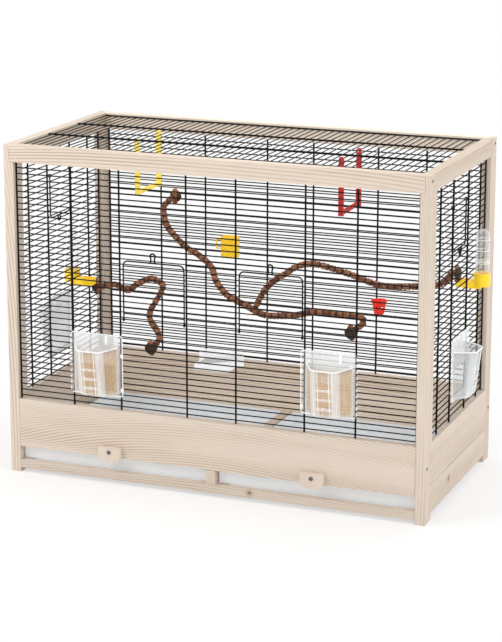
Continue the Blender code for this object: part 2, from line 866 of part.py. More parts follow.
def knobbed_branch(points):
    # A branch that ends in a thicker knob.
    path = smooth_path(points, perch_step)
    radii = [perch_radius] * len(path)
    ahead = (path[-1] - path[-2]).normalized()
    end = path[-1]
    path += [end + ahead * reach for reach in (end_knob_step, end_knob_length, end_knob_length + knob_edge)]
    radii += [end_knob_radius, end_knob_radius, end_knob_radius * end_knob_taper]
    bar = wing()
    bar.data.transform(Matrix.Translation(end) @ ahead.to_track_quat("Y", "Z").to_matrix().to_4x4())
    return joined(branch(path, radii), bar)


def perch_seat(side, along, height):
    # Where a perch ends on the inner face of its knob.
    return on_wall(side, along, height, -(row_half + 2 * fit_gap + knob_thickness))


def make_knob(name, side, along, height):
    flat = knob_radius * knob_face
    profile = [(0, 0), (flat, 0), (knob_radius, knob_edge), (knob_radius, knob_thickness - knob_edge),
               (flat, knob_thickness), (0, knob_thickness)]
    item = joined(lathe(profile, knob_sides, "Y"), wing())
    place(item, name, bark, on_wall(side, along, height, -(row_half + fit_gap)), wall_turn[side], smooth=True)


# The cage size that the perches' places and routes are given for; they keep their share of it.
drawn_cage = Vector((0.810, 0.410, 0.622))
perch_stretch = Vector((cage_width / drawn_cage.x, cage_depth / drawn_cage.y, cage_height / drawn_cage.z))

# Where the perches meet the walls: wall, place along it, height.
long_perch_rear = ("rear", 0.239 * perch_stretch.x, 0.464 * perch_stretch.z)
long_perch_right = ("right", 0.018 * perch_stretch.y, 0.402 * perch_stretch.z)
short_perch_left = ("left", -0.138 * perch_stretch.y, 0.280 * perch_stretch.z)

# Points that the perches run through inside the cage.
long_perch_route = [
    (-0.243, 0.175, 0.460), (-0.251, 0.162, 0.449), (-0.246, 0.148, 0.440),
    (-0.226, 0.123, 0.417), (-0.183, 0.106, 0.386), (-0.145, 0.091, 0.373),
    (-0.114, 0.076, 0.356), (-0.099, 0.061, 0.335), (-0.070, 0.046, 0.313),
    (-0.025, 0.031, 0.300), (0.015, 0.016, 0.290), (0.052, 0.008, 0.293),
    (0.085, 0.001, 0.299), (0.134, -0.015, 0.314), (0.196, -0.030, 0.318),
    (0.224, -0.038, 0.319), (0.234, -0.045, 0.311), (0.217, -0.051, 0.295),
]
fork_route = [
    (-0.006, 0.024, 0.295), (0.012, 0.025, 0.330), (0.028, 0.027, 0.350),
    (0.053, 0.028, 0.368), (0.080, 0.030, 0.386), (0.110, 0.032, 0.392),
    (0.149, 0.033, 0.386), (0.188, 0.032, 0.377), (0.240, 0.030, 0.364),
    (0.302, 0.027, 0.368), (0.345, 0.023, 0.374), (0.366, 0.020, 0.386),
]
short_perch_route = [
    (-0.344, 0.130, 0.289), (-0.322, 0.123, 0.284), (-0.306, 0.115, 0.285),
    (-0.288, 0.107, 0.299), (-0.267, 0.100, 0.311), (-0.249, 0.092, 0.318),
    (-0.232, 0.084, 0.318), (-0.217, 0.077, 0.311), (-0.218, 0.069, 0.298),
    (-0.229, 0.054, 0.273), (-0.231, 0.046, 0.262), (-0.227, 0.038, 0.251),
    (-0.203, 0.023, 0.230), (-0.199, 0.016, 0.218), (-0.208, 0.009, 0.207),
]


def on_route(points):
    return [Vector(point) * perch_stretch for point in points]


def make_perches():
    make_knob("perch_knob_rear", *long_perch_rear)
    make_knob("perch_knob_right", *long_perch_right)
    make_knob("perch_knob_left", *short_perch_left)
    start = perch_seat(*long_perch_rear)
    body = knobbed_branch([start, start - Vector((0, wall_straight, 0))] + on_route(long_perch_route))
    end = perch_seat(*long_perch_right)
    fork = smooth_path(on_route(fork_route) + [end - Vector((wall_straight, 0, 0)), end], perch_step)
    body = joined(body, branch(fork, [perch_radius * fork_thinning] * len(fork)))
    centred(body, "perch_long", bark, smooth=True)
    start = perch_seat(*short_perch_left)
    body = knobbed_branch([start, start + Vector((wall_straight, 0, 0))] + on_route(short_perch_route))
    centred(body, "perch_short", bark, smooth=True)


def inside_rear(along, height):
    # A place on the rear grille's inner side, in cage coordinates.
    return Vector((along, wall_plane("rear") - row_half - fit_gap, height))


def make_yellow_holder():
    # An open box with a square loop on its left side.
    width, depth, height = yellow_box_size
    wall = holder_wall
    body = blocks([((-width / 2, -depth, 0), (width / 2, 0, height))])
    hollow = blocks([((-width / 2 + wall, -depth + wall, wall),
                      (width / 2 - wall, -wall, height + cut_beyond))])
    body = carved(body, hollow)
    loop_width, loop_height = yellow_loop
    front, back = (-depth for depth in yellow_loop_depth)
    start = -width / 2 + wall / 2
    end = start - loop_width
    upper = height * yellow_loop_level
    lower = upper - loop_height
    bars = [((start, front, level), (end, back, level - wall)) for level in (upper, lower)]
    body = joined(body, blocks(bars))
    post = blocks([((end + wall / 2, front - weld_inset, upper + weld_inset),
                    (end - wall / 2, back + weld_inset, lower - wall - weld_inset))])
    body = joined(body, post)
    place(body, "treat_holder_yellow", yellow, inside_rear(*yellow_box_place))


def make_red_cup():
    # A tapered cup with three slots and a tab that hangs on the wires.
    wall = holder_wall
    top = red_cup_top_radius
    bottom = red_cup_bottom_radius
    height = red_cup_height
    mouth = height + tiny_step
    body = lathe([(0, 0), (bottom, 0), (top, height), (0, height)], red_cup_sides)
    hollow = lathe([(0, wall), (bottom - wall, wall), (top - wall, mouth), (0, mouth)], red_cup_sides)
    body = carved(body, hollow)
    low, high = (height * level for level in red_slot_levels)
    body = carved(body, blocks([((-top * 2, -red_slot_half, low), (top * 2, red_slot_half, high))]))
    body = carved(body, blocks([((-red_slot_half, -top * 2, low), (red_slot_half, 0, high))]))
    inward, outward_reach = red_tab_depth
    low, high = (height * level for level in red_tab_levels)
    tab = blocks([((-red_tab_half, top - inward, low), (red_tab_half, top + outward_reach, high))])
    body = moved(joined(body, tab), (0, -top - outward_reach, 0))
    place(body, "treat_cup_red", red, inside_rear(*red_cup_place), smooth=True)


def make_ledge():
    # An upright plate in front of the rear board, with a shallow tray and a lip that rests on the board.
    half = ledge_plate[0] / 2
    tray_half = ledge_tray[0] / 2
    reach, rim = ledge_tray[1:]
    wall = ledge_wall
    plate = blocks([((-half, -wall, 0), (half, 0, ledge_plate[1]))])
    tray = blocks([((-tray_half, -reach, weld_inset), (tray_half, -wall / 2, rim))])
    hollow = blocks([((-tray_half + wall, -reach + wall, wall),
                      (tray_half - wall, -wall - tiny_step, rim + cut_beyond))])
    body = carved(joined(plate, tray), hollow)
    board_face = half_depth - board_thickness - fit_gap
    lip_reach = wall_plane("rear") - row_half - fit_gap - board_face
    lip_low = board_top + fit_gap - ledge_low
    lip = blocks([((-half + weld_inset, -wall / 2, lip_low), (half - weld_inset, lip_reach, lip_low + wall))])
    place(joined(body, lip), "rear_ledge_tray", clear, (ledge_place, board_face, ledge_low))


clear_scene()
wood = material("pale_wood", (0.78, 0.62, 0.46), 0.7)
wire = material("black_wire", (0.012, 0.012, 0.013), 0.35, 0.4)
clear = material("clear_plastic", (0.85, 0.88, 0.88), 0.05, 0.0, 0.35)
yellow = material("yellow_plastic", (0.93, 0.62, 0.03), 0.35)
red = material("red_plastic", (0.78, 0.03, 0.02), 0.35)
grey = material("grey_plastic", (0.68, 0.70, 0.70), 0.5)
steel = material("screw_steel", (0.45, 0.43, 0.40), 0.35, 0.9)
bark = material("bark_brown", (0.20, 0.09, 0.04), 0.75)

cage_centre = bpy.data.objects.new("cage_centre", None)
cage_centre.location = (0, origin_shift, 0)
bpy.context.scene.collection.objects.link(cage_centre)

make_frame()
make_frame_screws()
make_runners()
for sx, side in ((-1, "left"), (1, "right")):
    make_tray(sx, side)
    make_button(sx, side)
for side in ("front", "rear", "left", "right"):
    make_wall_grille(side)
make_roof_grille()

inner_column, door_column, feeder_column = front_columns()
door_middle = (inner_column + door_column) / 2
make_door("door_front_left", "front", -door_middle, door_bay, front_door_first_row, front_door_rows, True)
make_door("door_front_right", "front", door_middle, door_bay, front_door_first_row, front_door_rows, True)
make_feeder("feeder_front_left", "front", -feeder_column, left_feeder_first_row, 1)
make_feeder("feeder_front_right", "front", feeder_column, right_feeder_first_row, -1)
for side, hand in (("left", -1), ("right", 1)):
    make_door(f"door_side_{side}", side, 0, inner_bay, side_door_first_row, side_door_rows, False)
    make_feeder(f"feeder_side_{side}", side, -hand * inner_bay / 2, side_feeder_first_row, hand)
    make_drinker(side, hand)
make_swing("swing_yellow", yellow, -1, yellow_swing_middle)
make_swing("swing_red", red, 1, red_swing_middle)
make_perches()
make_yellow_holder()
make_red_cup()
make_ledge()
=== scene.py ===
import math

import bmesh
import bpy
from mathutils import Matrix, Vector


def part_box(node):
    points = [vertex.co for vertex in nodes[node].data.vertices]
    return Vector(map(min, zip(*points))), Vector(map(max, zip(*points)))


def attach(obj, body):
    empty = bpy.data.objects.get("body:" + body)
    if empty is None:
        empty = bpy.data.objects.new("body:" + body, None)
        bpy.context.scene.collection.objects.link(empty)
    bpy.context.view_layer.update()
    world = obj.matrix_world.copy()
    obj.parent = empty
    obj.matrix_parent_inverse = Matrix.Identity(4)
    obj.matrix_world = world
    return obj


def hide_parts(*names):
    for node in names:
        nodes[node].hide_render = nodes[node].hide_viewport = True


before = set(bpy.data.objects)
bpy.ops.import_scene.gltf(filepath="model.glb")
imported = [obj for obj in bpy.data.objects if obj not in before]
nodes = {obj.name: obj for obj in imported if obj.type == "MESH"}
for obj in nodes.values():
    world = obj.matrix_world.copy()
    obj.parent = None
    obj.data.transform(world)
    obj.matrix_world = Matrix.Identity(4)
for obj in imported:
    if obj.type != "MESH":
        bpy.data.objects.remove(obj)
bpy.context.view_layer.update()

# The cage's middle, and the walls' planes, read off the frame's own timber.
leftPost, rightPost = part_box("post_front_left"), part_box("post_rear_right")
middleY = (leftPost[0].y + rightPost[1].y) / 2
cage = {
    "halfWidth": rightPost[1].x,
    "halfDepth": rightPost[1].y - middleY,
    "height": rightPost[1].z,
    "wallInset": 0.009,
    "roofInset": 0.005,
}
wallTurn = {"front": 0, "right": 90, "rear": 180, "left": -90}


def cagePoint(x, y, z):
    # Cage coordinates have their origin under the middle of the timber frame.
    return Vector((x, y + middleY, z))


def wallMatrix(side, along=0.0, height=0.0, out=0.0):
    # Local X runs along the wall as seen from outside, local -Y points out of the cage.
    half = cage["halfDepth"] if side in ("front", "rear") else cage["halfWidth"]
    turn = Matrix.Rotation(math.radians(wallTurn[side]), 4, "Z")
    place = turn @ Vector((along, cage["wallInset"] - half - out, height))
    return Matrix.Translation(cagePoint(*place)) @ turn


# Small helpers for meshes

def addObject(name, data):
    item = bpy.data.objects.new(name, data)
    bpy.context.scene.collection.objects.link(item)
    return item


def fromBmesh(name, work, smoothAngle=40):
    bmesh.ops.remove_doubles(work, verts=work.verts, dist=0.000005)
    bmesh.ops.recalc_face_normals(work, faces=work.faces)
    mesh = bpy.data.meshes.new(name)
    work.to_mesh(mesh)
    work.free()
    mesh.shade_smooth()
    mesh.set_sharp_from_angle(angle=math.radians(smoothAngle))
    return addObject(name, mesh)


def applied(item):
    # The object with its modifiers turned into a plain mesh at the origin.
    bpy.context.view_layer.update()
    ready = item.evaluated_get(bpy.context.evaluated_depsgraph_get())
    mesh = bpy.data.meshes.new_from_object(ready)
    mesh.transform(item.matrix_world)
    name = item.name
    bpy.data.objects.remove(item, do_unlink=True)
    return addObject(name, mesh)


def joinPieces(name, pieces):
    work = bmesh.new()
    for piece in pieces:
        piece.data.transform(piece.matrix_world)
        work.from_mesh(piece.data)
        bpy.data.objects.remove(piece, do_unlink=True)
    mesh = bpy.data.meshes.new(name)
    work.to_mesh(mesh)
    work.free()
    return addObject(name, mesh)


def bevelled(item, width, segments=2, angle=35):
    step = item.modifiers.new("edges", "BEVEL")
    step.width = width
    step.segments = segments
    step.limit_method = "ANGLE"
    step.angle_limit = math.radians(angle)
    return applied(item)


def walled(item, thickness):
    step = item.modifiers.new("wall", "SOLIDIFY")
    step.thickness = thickness
    step.offset = -1
    return item


def placed(item, matrix):
    item.data.transform(matrix)
    if matrix.determinant() < 0:
        item.data.flip_normals()
    return item


def finishPiece(item, material, body, replaced=()):
    item.data.materials.clear()
    item.data.materials.append(material)
    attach(item, body)
    if replaced:
        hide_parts(*replaced)


def softened(node, name, width):
    # A copy of a CAD solid whose edges are eased as sanding or moulding leaves them.
    work = bmesh.new()
    work.from_mesh(nodes[node].data)
    bmesh.ops.remove_doubles(work, verts=work.verts, dist=0.00001)
    bmesh.ops.dissolve_limit(work, angle_limit=math.radians(1), verts=work.verts, edges=work.edges)
    return bevelled(fromBmesh(name, work, 25), width, 2, 40)


def moulded(node, part, width, material, body=None):
    finishPiece(softened(node, f"{node}_{part}", width), material, body or node, [node])


def turned(work, profile, sides, axis="Z"):
    # A profile of (radius, level) spun round Z or Y; ends with radius 0 are closed.
    rings = []
    for radius, level in profile:
        ring = [(radius * math.cos(2 * math.pi * i / sides), radius * math.sin(2 * math.pi * i / sides))
                for i in range(sides if radius else 1)]
        rings.append([work.verts.new((a, b, level) if axis == "Z" else (a, level, b)) for a, b in ring])
    for lower, upper in zip(rings, rings[1:]):
        for i in range(sides):
            corners = [lower[i % len(lower)], lower[(i + 1) % len(lower)],
                       upper[(i + 1) % len(upper)], upper[i % len(upper)]]
            unique = list(dict.fromkeys(corners))
            if len(unique) > 2:
                work.faces.new(unique)


def arcPoints(centre, radius, start, end, steps):
    turns = [math.radians(start + (end - start) * i / steps) for i in range(steps + 1)]
    return [(centre[0] + radius * math.cos(t), centre[1] + radius * math.sin(t)) for t in turns]


def loopPoints(centre, radius, steps):
    # A circle that overlaps its own start by one step, so that a wire along it looks closed.
    return arcPoints(centre, radius, 0, 360 * (steps + 1) / steps, steps + 1)


def rectangle(left, right, low, high):
    return [(left, low), (right, low), (right, high), (left, high)]


def roundedOutline(left, right, low, high, radius, steps=5):
    outline = []
    for x, z, start in ((right - radius, high - radius, 0), (left + radius, high - radius, 90),
                        (left + radius, low + radius, 180), (right - radius, low + radius, 270)):
        outline += arcPoints((x, z), radius, start, start + 90, steps)
    return outline


def roundedRoute(left, right, low, high, radius, y):
    # The outline as the route of a wire, which overlaps its own start.
    outline = roundedOutline(left, right, low, high, radius)
    return [(x, y, z) for x, z in outline + outline[:2]]


def ringSlab(work, outer, inner, front, back):
    # A flat plate with a window, standing in X and Z between two depths.
    loops = [[work.verts.new((x, y, z)) for x, z in outline]
             for outline, y in ((outer, front), (outer, back), (inner, back), (inner, front))]
    for near, far in zip(loops, loops[1:] + loops[:1]):
        for i in range(len(outer)):
            work.faces.new((near[i - 1], near[i], far[i], far[i - 1]))


def slab(name, outline, front, back):
    work = bmesh.new()
    fronts = [work.verts.new((x, front, z)) for x, z in outline]
    backs = [work.verts.new((x, back, z)) for x, z in outline]
    work.faces.new(fronts)
    work.faces.new(backs[::-1])
    for i in range(len(outline)):
        work.faces.new((fronts[i - 1], backs[i - 1], backs[i], fronts[i]))
    return fromBmesh(name, work)


# Node trees

class NodeTree:
    def __init__(self, tree):
        self.tree = tree

    def add(self, kind, values=None, output=0, **settings):
        # Adds a node with its settings and inputs, and gives back one of its outputs.
        node = self.tree.nodes.new(kind)
        for key, value in settings.items():
            setattr(node, key, value)
        for key, value in (values or {}).items():
            self.feed(node.inputs[key], value)
        return Link(self, node.outputs[output])

    def feed(self, target, value):
        if isinstance(value, Link):
            self.tree.links.new(value.socket, target)
        elif target.type == "RGBA" and len(value) == 3:
            target.default_value = (*value, 1.0)
        else:
            target.default_value = value

    def maths(self, operation, *terms):
        return self.add("ShaderNodeMath", dict(enumerate(terms)), operation=operation)

    def noise(self, place, scale, detail=3.0, roughness=0.5, **more):
        values = {"Vector": place, "Scale": scale, "Detail": detail, "Roughness": roughness}
        settings = {"noise_dimensions": "4D"} if more else {}
        return self.add("ShaderNodeTexNoise", {**values, **more}, **settings)


class Link:
    # One socket of a tree, so that maths on sockets reads as plain sums.
    def __init__(self, owner, socket):
        self.owner, self.socket = owner, socket

    def run(self, operation):
        return self.owner.maths(operation, self)

    def clamp(self):
        return self.owner.add("ShaderNodeClamp", {"Value": self})

    def ramp(self, low, high, start=0.0, end=1.0):
        values = {"Value": self, "From Min": low, "From Max": high, "To Min": start, "To Max": end}
        return self.owner.add("ShaderNodeMapRange", values, interpolation_type="SMOOTHSTEP")


# The operators work with a number on either side of the link.
signs = {"add": "ADD", "sub": "SUBTRACT", "mul": "MULTIPLY", "truediv": "DIVIDE", "pow": "POWER"}
for sign, way in signs.items():
    setattr(Link, f"__{sign}__", lambda self, other, way=way: self.owner.maths(way, self, other))
    setattr(Link, f"__r{sign}__", lambda self, other, way=way: self.owner.maths(way, other, self))


class Paint(NodeTree):
    # A material with its Principled shader.
    def __init__(self, name, **constants):
        self.material = bpy.data.materials.new(name)
        self.material.use_nodes = True
        super().__init__(self.material.node_tree)
        self.shader = self.tree.nodes["Principled BSDF"]
        self.set(**constants)

    def set(self, **sockets):
        for socket, value in sockets.items():
            self.feed(self.shader.inputs[socket.replace("_", " ")], value)
        return self.material

    def mix(self, factor, first, second, way="MIX"):
        values = {0: factor, 6: first, 7: second}
        return self.add("ShaderNodeMix", values, 2, data_type="RGBA", blend_type=way)

    def objectPlace(self, scale=(1, 1, 1), move=(0, 0, 0)):
        place = self.add("ShaderNodeTexCoord", output="Object")
        return self.add("ShaderNodeMapping", {"Vector": place, "Location": move, "Scale": scale})

    def attribute(self, name):
        return self.add("ShaderNodeAttribute", output="Fac", attribute_name=name)

    def bump(self, height, strength, distance):
        return self.add("ShaderNodeBump", {"Height": height, "Strength": strength, "Distance": distance})


# Materials

woodFinish = {
    "light": (0.755, 0.650, 0.552),
    "dark": (0.500, 0.375, 0.275),
    "knot": (0.330, 0.180, 0.095),
    "ringSpacing": 0.0037,
    "grainStretch": 14.0,
    "bow": 14.0,
    "sway": 0.042,
}


def makeWood(name, axis, offset, toneAndPaintedLight, knots, bow, contrast):
    # Growth lines run along the axis and bow away from its middle, with fine pores between them.
    paint = Paint(name)
    index = "XYZ".index(axis)
    stretch = [1.0, 1.0, 1.0]
    stretch[index] = 1 / woodFinish["grainStretch"]
    place = paint.objectPlace(stretch, offset)
    split = paint.add("ShaderNodeSeparateXYZ", {"Vector": place}).socket.node.outputs
    across = [Link(paint, split[i]) for i in range(3) if i != index]
    along = Link(paint, split[index]) - offset[index]
    sway = paint.noise(place, 9.0, 2.0) * woodFinish["sway"]
    distance = across[0] * 0.72 + across[1] * 0.69 + sway + along * along * bow
    rings = (distance * (2 * math.pi / woodFinish["ringSpacing"])).run("SINE") * 0.5 + 0.5
    broad = paint.noise(place, 26.0)
    pores = paint.noise(place, 420.0, 4.0, 0.65).ramp(0.52, 0.75)
    lines = (rings ** 2.2) * broad.ramp(0.30, 0.72)
    depth = ((lines * 0.66 + pores * 0.20) * contrast + broad * 0.14).clamp()
    light, dark = (tuple(c * toneAndPaintedLight for c in woodFinish[end]) for end in ("light", "dark"))
    colour = paint.mix(depth, light, dark)
    for spot, radius in knots:
        values = {0: paint.objectPlace(), 1: spot}
        gap = paint.add("ShaderNodeVectorMath", values, 1, operation="DISTANCE")
        core, halo = gap.ramp(radius, radius * 0.45), gap.ramp(radius * 2.6, radius) * 0.35
        colour = paint.mix((core + halo).clamp(), colour, woodFinish["knot"])
    relief = paint.bump(lines * 0.6 + pores * 0.4, 0.25, 0.0003)
    return paint.set(Base_Color=colour, Roughness=depth * 0.12 + 0.50, Normal=relief)


def makeEven(name, colours, clouds, grains, rough, dents, **constants):
    # Two near colours in soft clouds, and a fine grain that roughens and dents the surface.
    paint = Paint(name, **constants)
    place = paint.objectPlace()
    grain = paint.noise(place, *grains)
    paint.set(Base_Color=paint.mix(paint.noise(place, *clouds), *colours),
              Roughness=grain * rough[0] + rough[1])
    if dents:
        paint.set(Normal=paint.bump(grain, dents, 0.0001))
    return paint.material


def makePlastic(name, colour, deep, paintedGlow):
    # The glow is painted light: it brightens the coloured plastic where the lamps leave it in shade.
    return makeEven(name, (deep, colour), (60.0, 3.0), (1500.0, 2.0), (0.10, 0.23), 0.05,
                    Emission_Color=colour, Emission_Strength=paintedGlow)


def makeClear(name, colour, thin, edge, paintedGlow):
    # Seen face on it is nearly invisible, and it whitens where it is seen along its surface. Its glow is
    # painted light that makes it whitish.
    paint = Paint(name, Emission_Color=colour, Emission_Strength=paintedGlow)
    facing = paint.add("ShaderNodeLayerWeight", {"Blend": 0.35}, "Facing")
    place = paint.objectPlace()
    cloud, scuff = paint.noise(place, 45.0, 2.0), paint.noise(place, 700.0)
    cover = ((facing ** 1.6) * (edge - thin) + thin + cloud * 0.05).clamp()
    return paint.set(Base_Color=paint.mix(cloud, colour, (1.0, 1.0, 1.0)), Alpha=cover,
                     Roughness=scuff * 0.06 + 0.06)


# Each tint gives the colours seen through the cup, painted in, and a painted shade for under the rim; the
# pale colour and its cover are painted highlights.
cupFinish = {
    "gold": ((0.640, 0.400, 0.170), (0.720, 0.520, 0.320), (0.220, 0.130, 0.060)),
    "grey": ((0.400, 0.415, 0.425), (0.760, 0.775, 0.785), (0.200, 0.210, 0.220)),
    "paintedHighlight": (0.900, 0.925, 0.945),
    "cover": 0.34,
    "paintedHighlightCover": 0.27,
    "paintedGlow": 0.06,
}


def makeCup(name, tint):
    # Thick clear walls: the flat faces are painted with the colour seen through them, the rounded corners
    # carry painted highlights and the band under the rim painted shade.
    deep, pale, shade = cupFinish[tint]
    paint = Paint(name, Emission_Strength=cupFinish["paintedGlow"])
    turn, level = paint.attribute("turn"), paint.attribute("level")
    cloud = paint.noise(paint.objectPlace(), 130.0)
    away = (turn - 0.5).run("ABSOLUTE")
    corner = away.ramp(0.050, 0.072) * away.ramp(0.190, 0.150)
    waves = (level * 33.0 + cloud * 1.6).run("SINE")
    stripes = waves.ramp(0.20, 0.90) * away.ramp(0.072, 0.050) * level.ramp(0.82, 0.70)
    around = paint.add("ShaderNodeCombineXYZ", {0: turn * 46.0, 1: level * 0.8})
    streaks = paint.noise(around, 1.0, 2.0).ramp(0.52, 0.74)
    foot = level.ramp(0.12, 0.03)
    # Painted highlights on the rounded corners, in stripes and streaks, and along the foot.
    paintedHighlight = (corner * 0.7 + stripes * 0.7 + streaks * 0.55 + foot * 0.7).clamp()
    # Painted shade just under the rim.
    flat = paint.mix(level.ramp(0.88, 0.97) * 0.55, paint.mix(cloud, deep, pale), shade)
    colour = paint.mix(paintedHighlight, flat, cupFinish["paintedHighlight"])
    cover = (paintedHighlight * cupFinish["paintedHighlightCover"] + cupFinish["cover"]).clamp()
    return paint.set(Base_Color=colour, Emission_Color=colour, Alpha=cover, Roughness=cloud * 0.06 + 0.08)


barkFinish = {
    "red": (0.170, 0.056, 0.022),
    "pale": (0.400, 0.158, 0.062),
    "dark": (0.022, 0.007, 0.003),
}


def makeBark(name, shade):
    paint = Paint(name)
    place = paint.objectPlace()
    patch, fleck = paint.noise(place, 70.0, 4.0, 0.6), paint.noise(place, 420.0, 3.0, 0.7)
    colour = paint.mix(patch.ramp(0.38, 0.66), barkFinish["red"], barkFinish["pale"])
    # The flecks are the bark's own dark; the ring is painted shade in the segments' notches.
    for cover in (fleck.ramp(0.55, 0.78) * 0.55, paint.attribute("ring")):
        colour = paint.mix(cover, colour, barkFinish["dark"])
    return paint.set(Base_Color=paint.mix(1.0, colour, (shade, shade, shade), "MULTIPLY"),
                     Roughness=fleck * 0.3 + 0.5, Normal=paint.bump(patch * 0.5 + fleck * 0.5, 0.55, 0.0006))


wireMaterial = makeEven("blackCoatedWire", ((0.003, 0.003, 0.0032), (0.008, 0.008, 0.0082)), (900.0, 2.0),
                        (900.0, 2.0), (0.18, 0.42), 0.15, Specular_IOR_Level=0.12)
# The tray's bluish glow is painted light that lifts it out of the shade of its slot.
trayMaterial = makeEven("greyTrayPlastic", ((0.72, 0.745, 0.76), (0.79, 0.81, 0.82)), (18.0, 3.0),
                        (1100.0, 2.0), (0.15, 0.32), 0.12, Emission_Color=(0.84, 0.91, 0.98),
                        Emission_Strength=0.13)
steelMaterial = makeEven("zincScrewSteel", ((0.13, 0.125, 0.118), (0.34, 0.33, 0.30)), (500.0, 3.0),
                         (500.0, 3.0), (0.25, 0.30), 0, Metallic=1.0)
# The clear plastics' glows are painted light, and the pale edges' whiteness is a painted highlight.
clearMaterial = makeClear("clearPlastic", (0.86, 0.88, 0.88), 0.06, 0.50, 0.10)
frostMaterial = makeClear("clearPlasticPlate", (0.70, 0.735, 0.760), 0.46, 0.75, 0.06)
ledgeMaterial = makeClear("clearPlasticLedge", (0.88, 0.90, 0.92), 0.50, 0.85, 0.30)
edgeMaterial = makeClear("clearPlasticEdge", (0.90, 0.91, 0.91), 0.50, 0.90, 0.25)
cupMaterials = {"front": makeCup("clearCupGold", "gold"), "side": makeCup("clearCupGrey", "grey")}
# The plastics' glows are painted light.
yellowMaterial = makePlastic("yellowPlastic", (1.0, 0.690, 0.022), (0.97, 0.600, 0.012), 0.20)
paleYellowMaterial = makePlastic("paleYellowPlastic", (1.0, 0.790, 0.120), (0.97, 0.720, 0.080), 0.22)
redMaterial = makePlastic("redPlastic", (0.92, 0.034, 0.010), (0.82, 0.020, 0.006), 0.16)
deepRedMaterial = makePlastic("deepRedPlastic", (0.64, 0.018, 0.011), (0.52, 0.012, 0.008), 0.05)
barkMaterial = makeBark("mouldedBark", 1.0)
knobMaterial = makeBark("darkKnob", 0.17)
# The wing's bark is paler than the knob's.
wingMaterial = makeBark("wornKnobWing", 1.30)
print("materials ready")


# Geometry Nodes

class Graph(NodeTree):
    # A tree with named inputs, ending in real geometry with its material set.
    kinds = {float: "Float", int: "Int", tuple: "Vector"}

    def __init__(self, name, **inputs):
        # An input is given by its usual value, or by its kind alone where it is a text.
        super().__init__(bpy.data.node_groups.new(name, "GeometryNodeTree"))
        face = self.tree.interface
        self.names = {}
        for label, value in {"Geometry": "Geometry", **inputs, "Material": "Material"}.items():
            kind = self.kinds.get(type(value), value)
            socket = face.new_socket(label, in_out="INPUT", socket_type=f"NodeSocket{kind}")
            if kind != value:
                socket.default_value = value
            self.names[label] = socket.identifier
        face.new_socket("Geometry", in_out="OUTPUT", socket_type="NodeSocketGeometry")
        self.start = self.tree.nodes.new("NodeGroupInput")
        self.end = self.tree.nodes.new("NodeGroupOutput")

    def given(self, label):
        return Link(self, self.start.outputs[label])

    def routes(self):
        return self.add("GeometryNodeMeshToCurve", {"Mesh": self.given("Geometry")})

    def rod(self, curve, **more):
        values = {"Resolution": self.given("Sides"), "Radius": self.given("Radius")}
        ring = self.add("GeometryNodeCurvePrimitiveCircle", values)
        values = {"Curve": curve, "Profile Curve": ring, "Fill Caps": True, **more}
        return self.add("GeometryNodeCurveToMesh", values)

    def smooth(self, geometry):
        return self.add("GeometryNodeSetShadeSmooth", {0: geometry, "Shade Smooth": True})

    def close(self, geometry):
        real = self.add("GeometryNodeRealizeInstances", {0: geometry})
        finished = self.add("GeometryNodeSetMaterial", {"Geometry": real, "Material": self.given("Material")})
        self.feed(self.end.inputs[0], finished)
        return self

    def grow(self, item, **values):
        # Runs the tree on an object and leaves the plain mesh that it makes.
        step = item.modifiers.new("grow", "NODES")
        step.node_group = self.tree
        for label, value in values.items():
            step[self.names[label]] = value
        return applied(item)


def makeWireGraph():
    graph = Graph("wireWork", Radius=0.001, Bend=0.0, Sides=8)
    values = {"Curve": graph.routes(), "Count": 5, "Radius": graph.given("Bend"), "Limit Radius": True}
    bent = graph.add("GeometryNodeFilletCurve", values, mode="POLY")
    return graph.close(graph.smooth(graph.rod(bent)))


wireGraph = makeWireGraph()


def routeObject(name, routes):
    # Each route is a list of points that one wire or branch follows.
    edges, start = [], 0
    for route in routes:
        edges += [(start + i, start + i + 1) for i in range(len(route) - 1)]
        start += len(route)
    mesh = bpy.data.meshes.new(name)
    mesh.from_pydata([tuple(point) for route in routes for point in route], edges, [])
    return addObject(name, mesh)


def wires(name, routes, radius, bend=0.0, sides=8):
    return wireGraph.grow(routeObject(name, routes), Radius=radius, Bend=bend, Sides=sides,
                          Material=wireMaterial)


def trimRods(name, routes, radius):
    return wires(name, routes, radius, sides=10)


# Grilles

grille = {
    "rowPitch": 0.0110359,
    "rows": 40,
    "firstRow": 0.149,
    "rowRadius": 0.00115,
    "columnRadius": 0.0018,
    "columnSeat": 0.82,
    "edgeRadius": 0.0016,
    "innerBay": 0.095,
    "doorBay": 0.1305,
    "feederBay": 0.0955,
    "drinkerBay": 0.0775,
    "roofWires": 57,
    "roofCross": 0.124,
    "roofRadius": 0.0010,
}
columnOut = 0.0030
doorPlace = {"frontFirst": 15, "frontRows": 11, "sideFirst": 27, "sideRows": 8}
feederPlace = {"frontLeft": 2, "frontRight": 3, "side": 3, "rows": 10}
drinkerPlace = {"left": 13, "right": 19}


def rowHeight(index):
    return grille["firstRow"] + index * grille["rowPitch"]


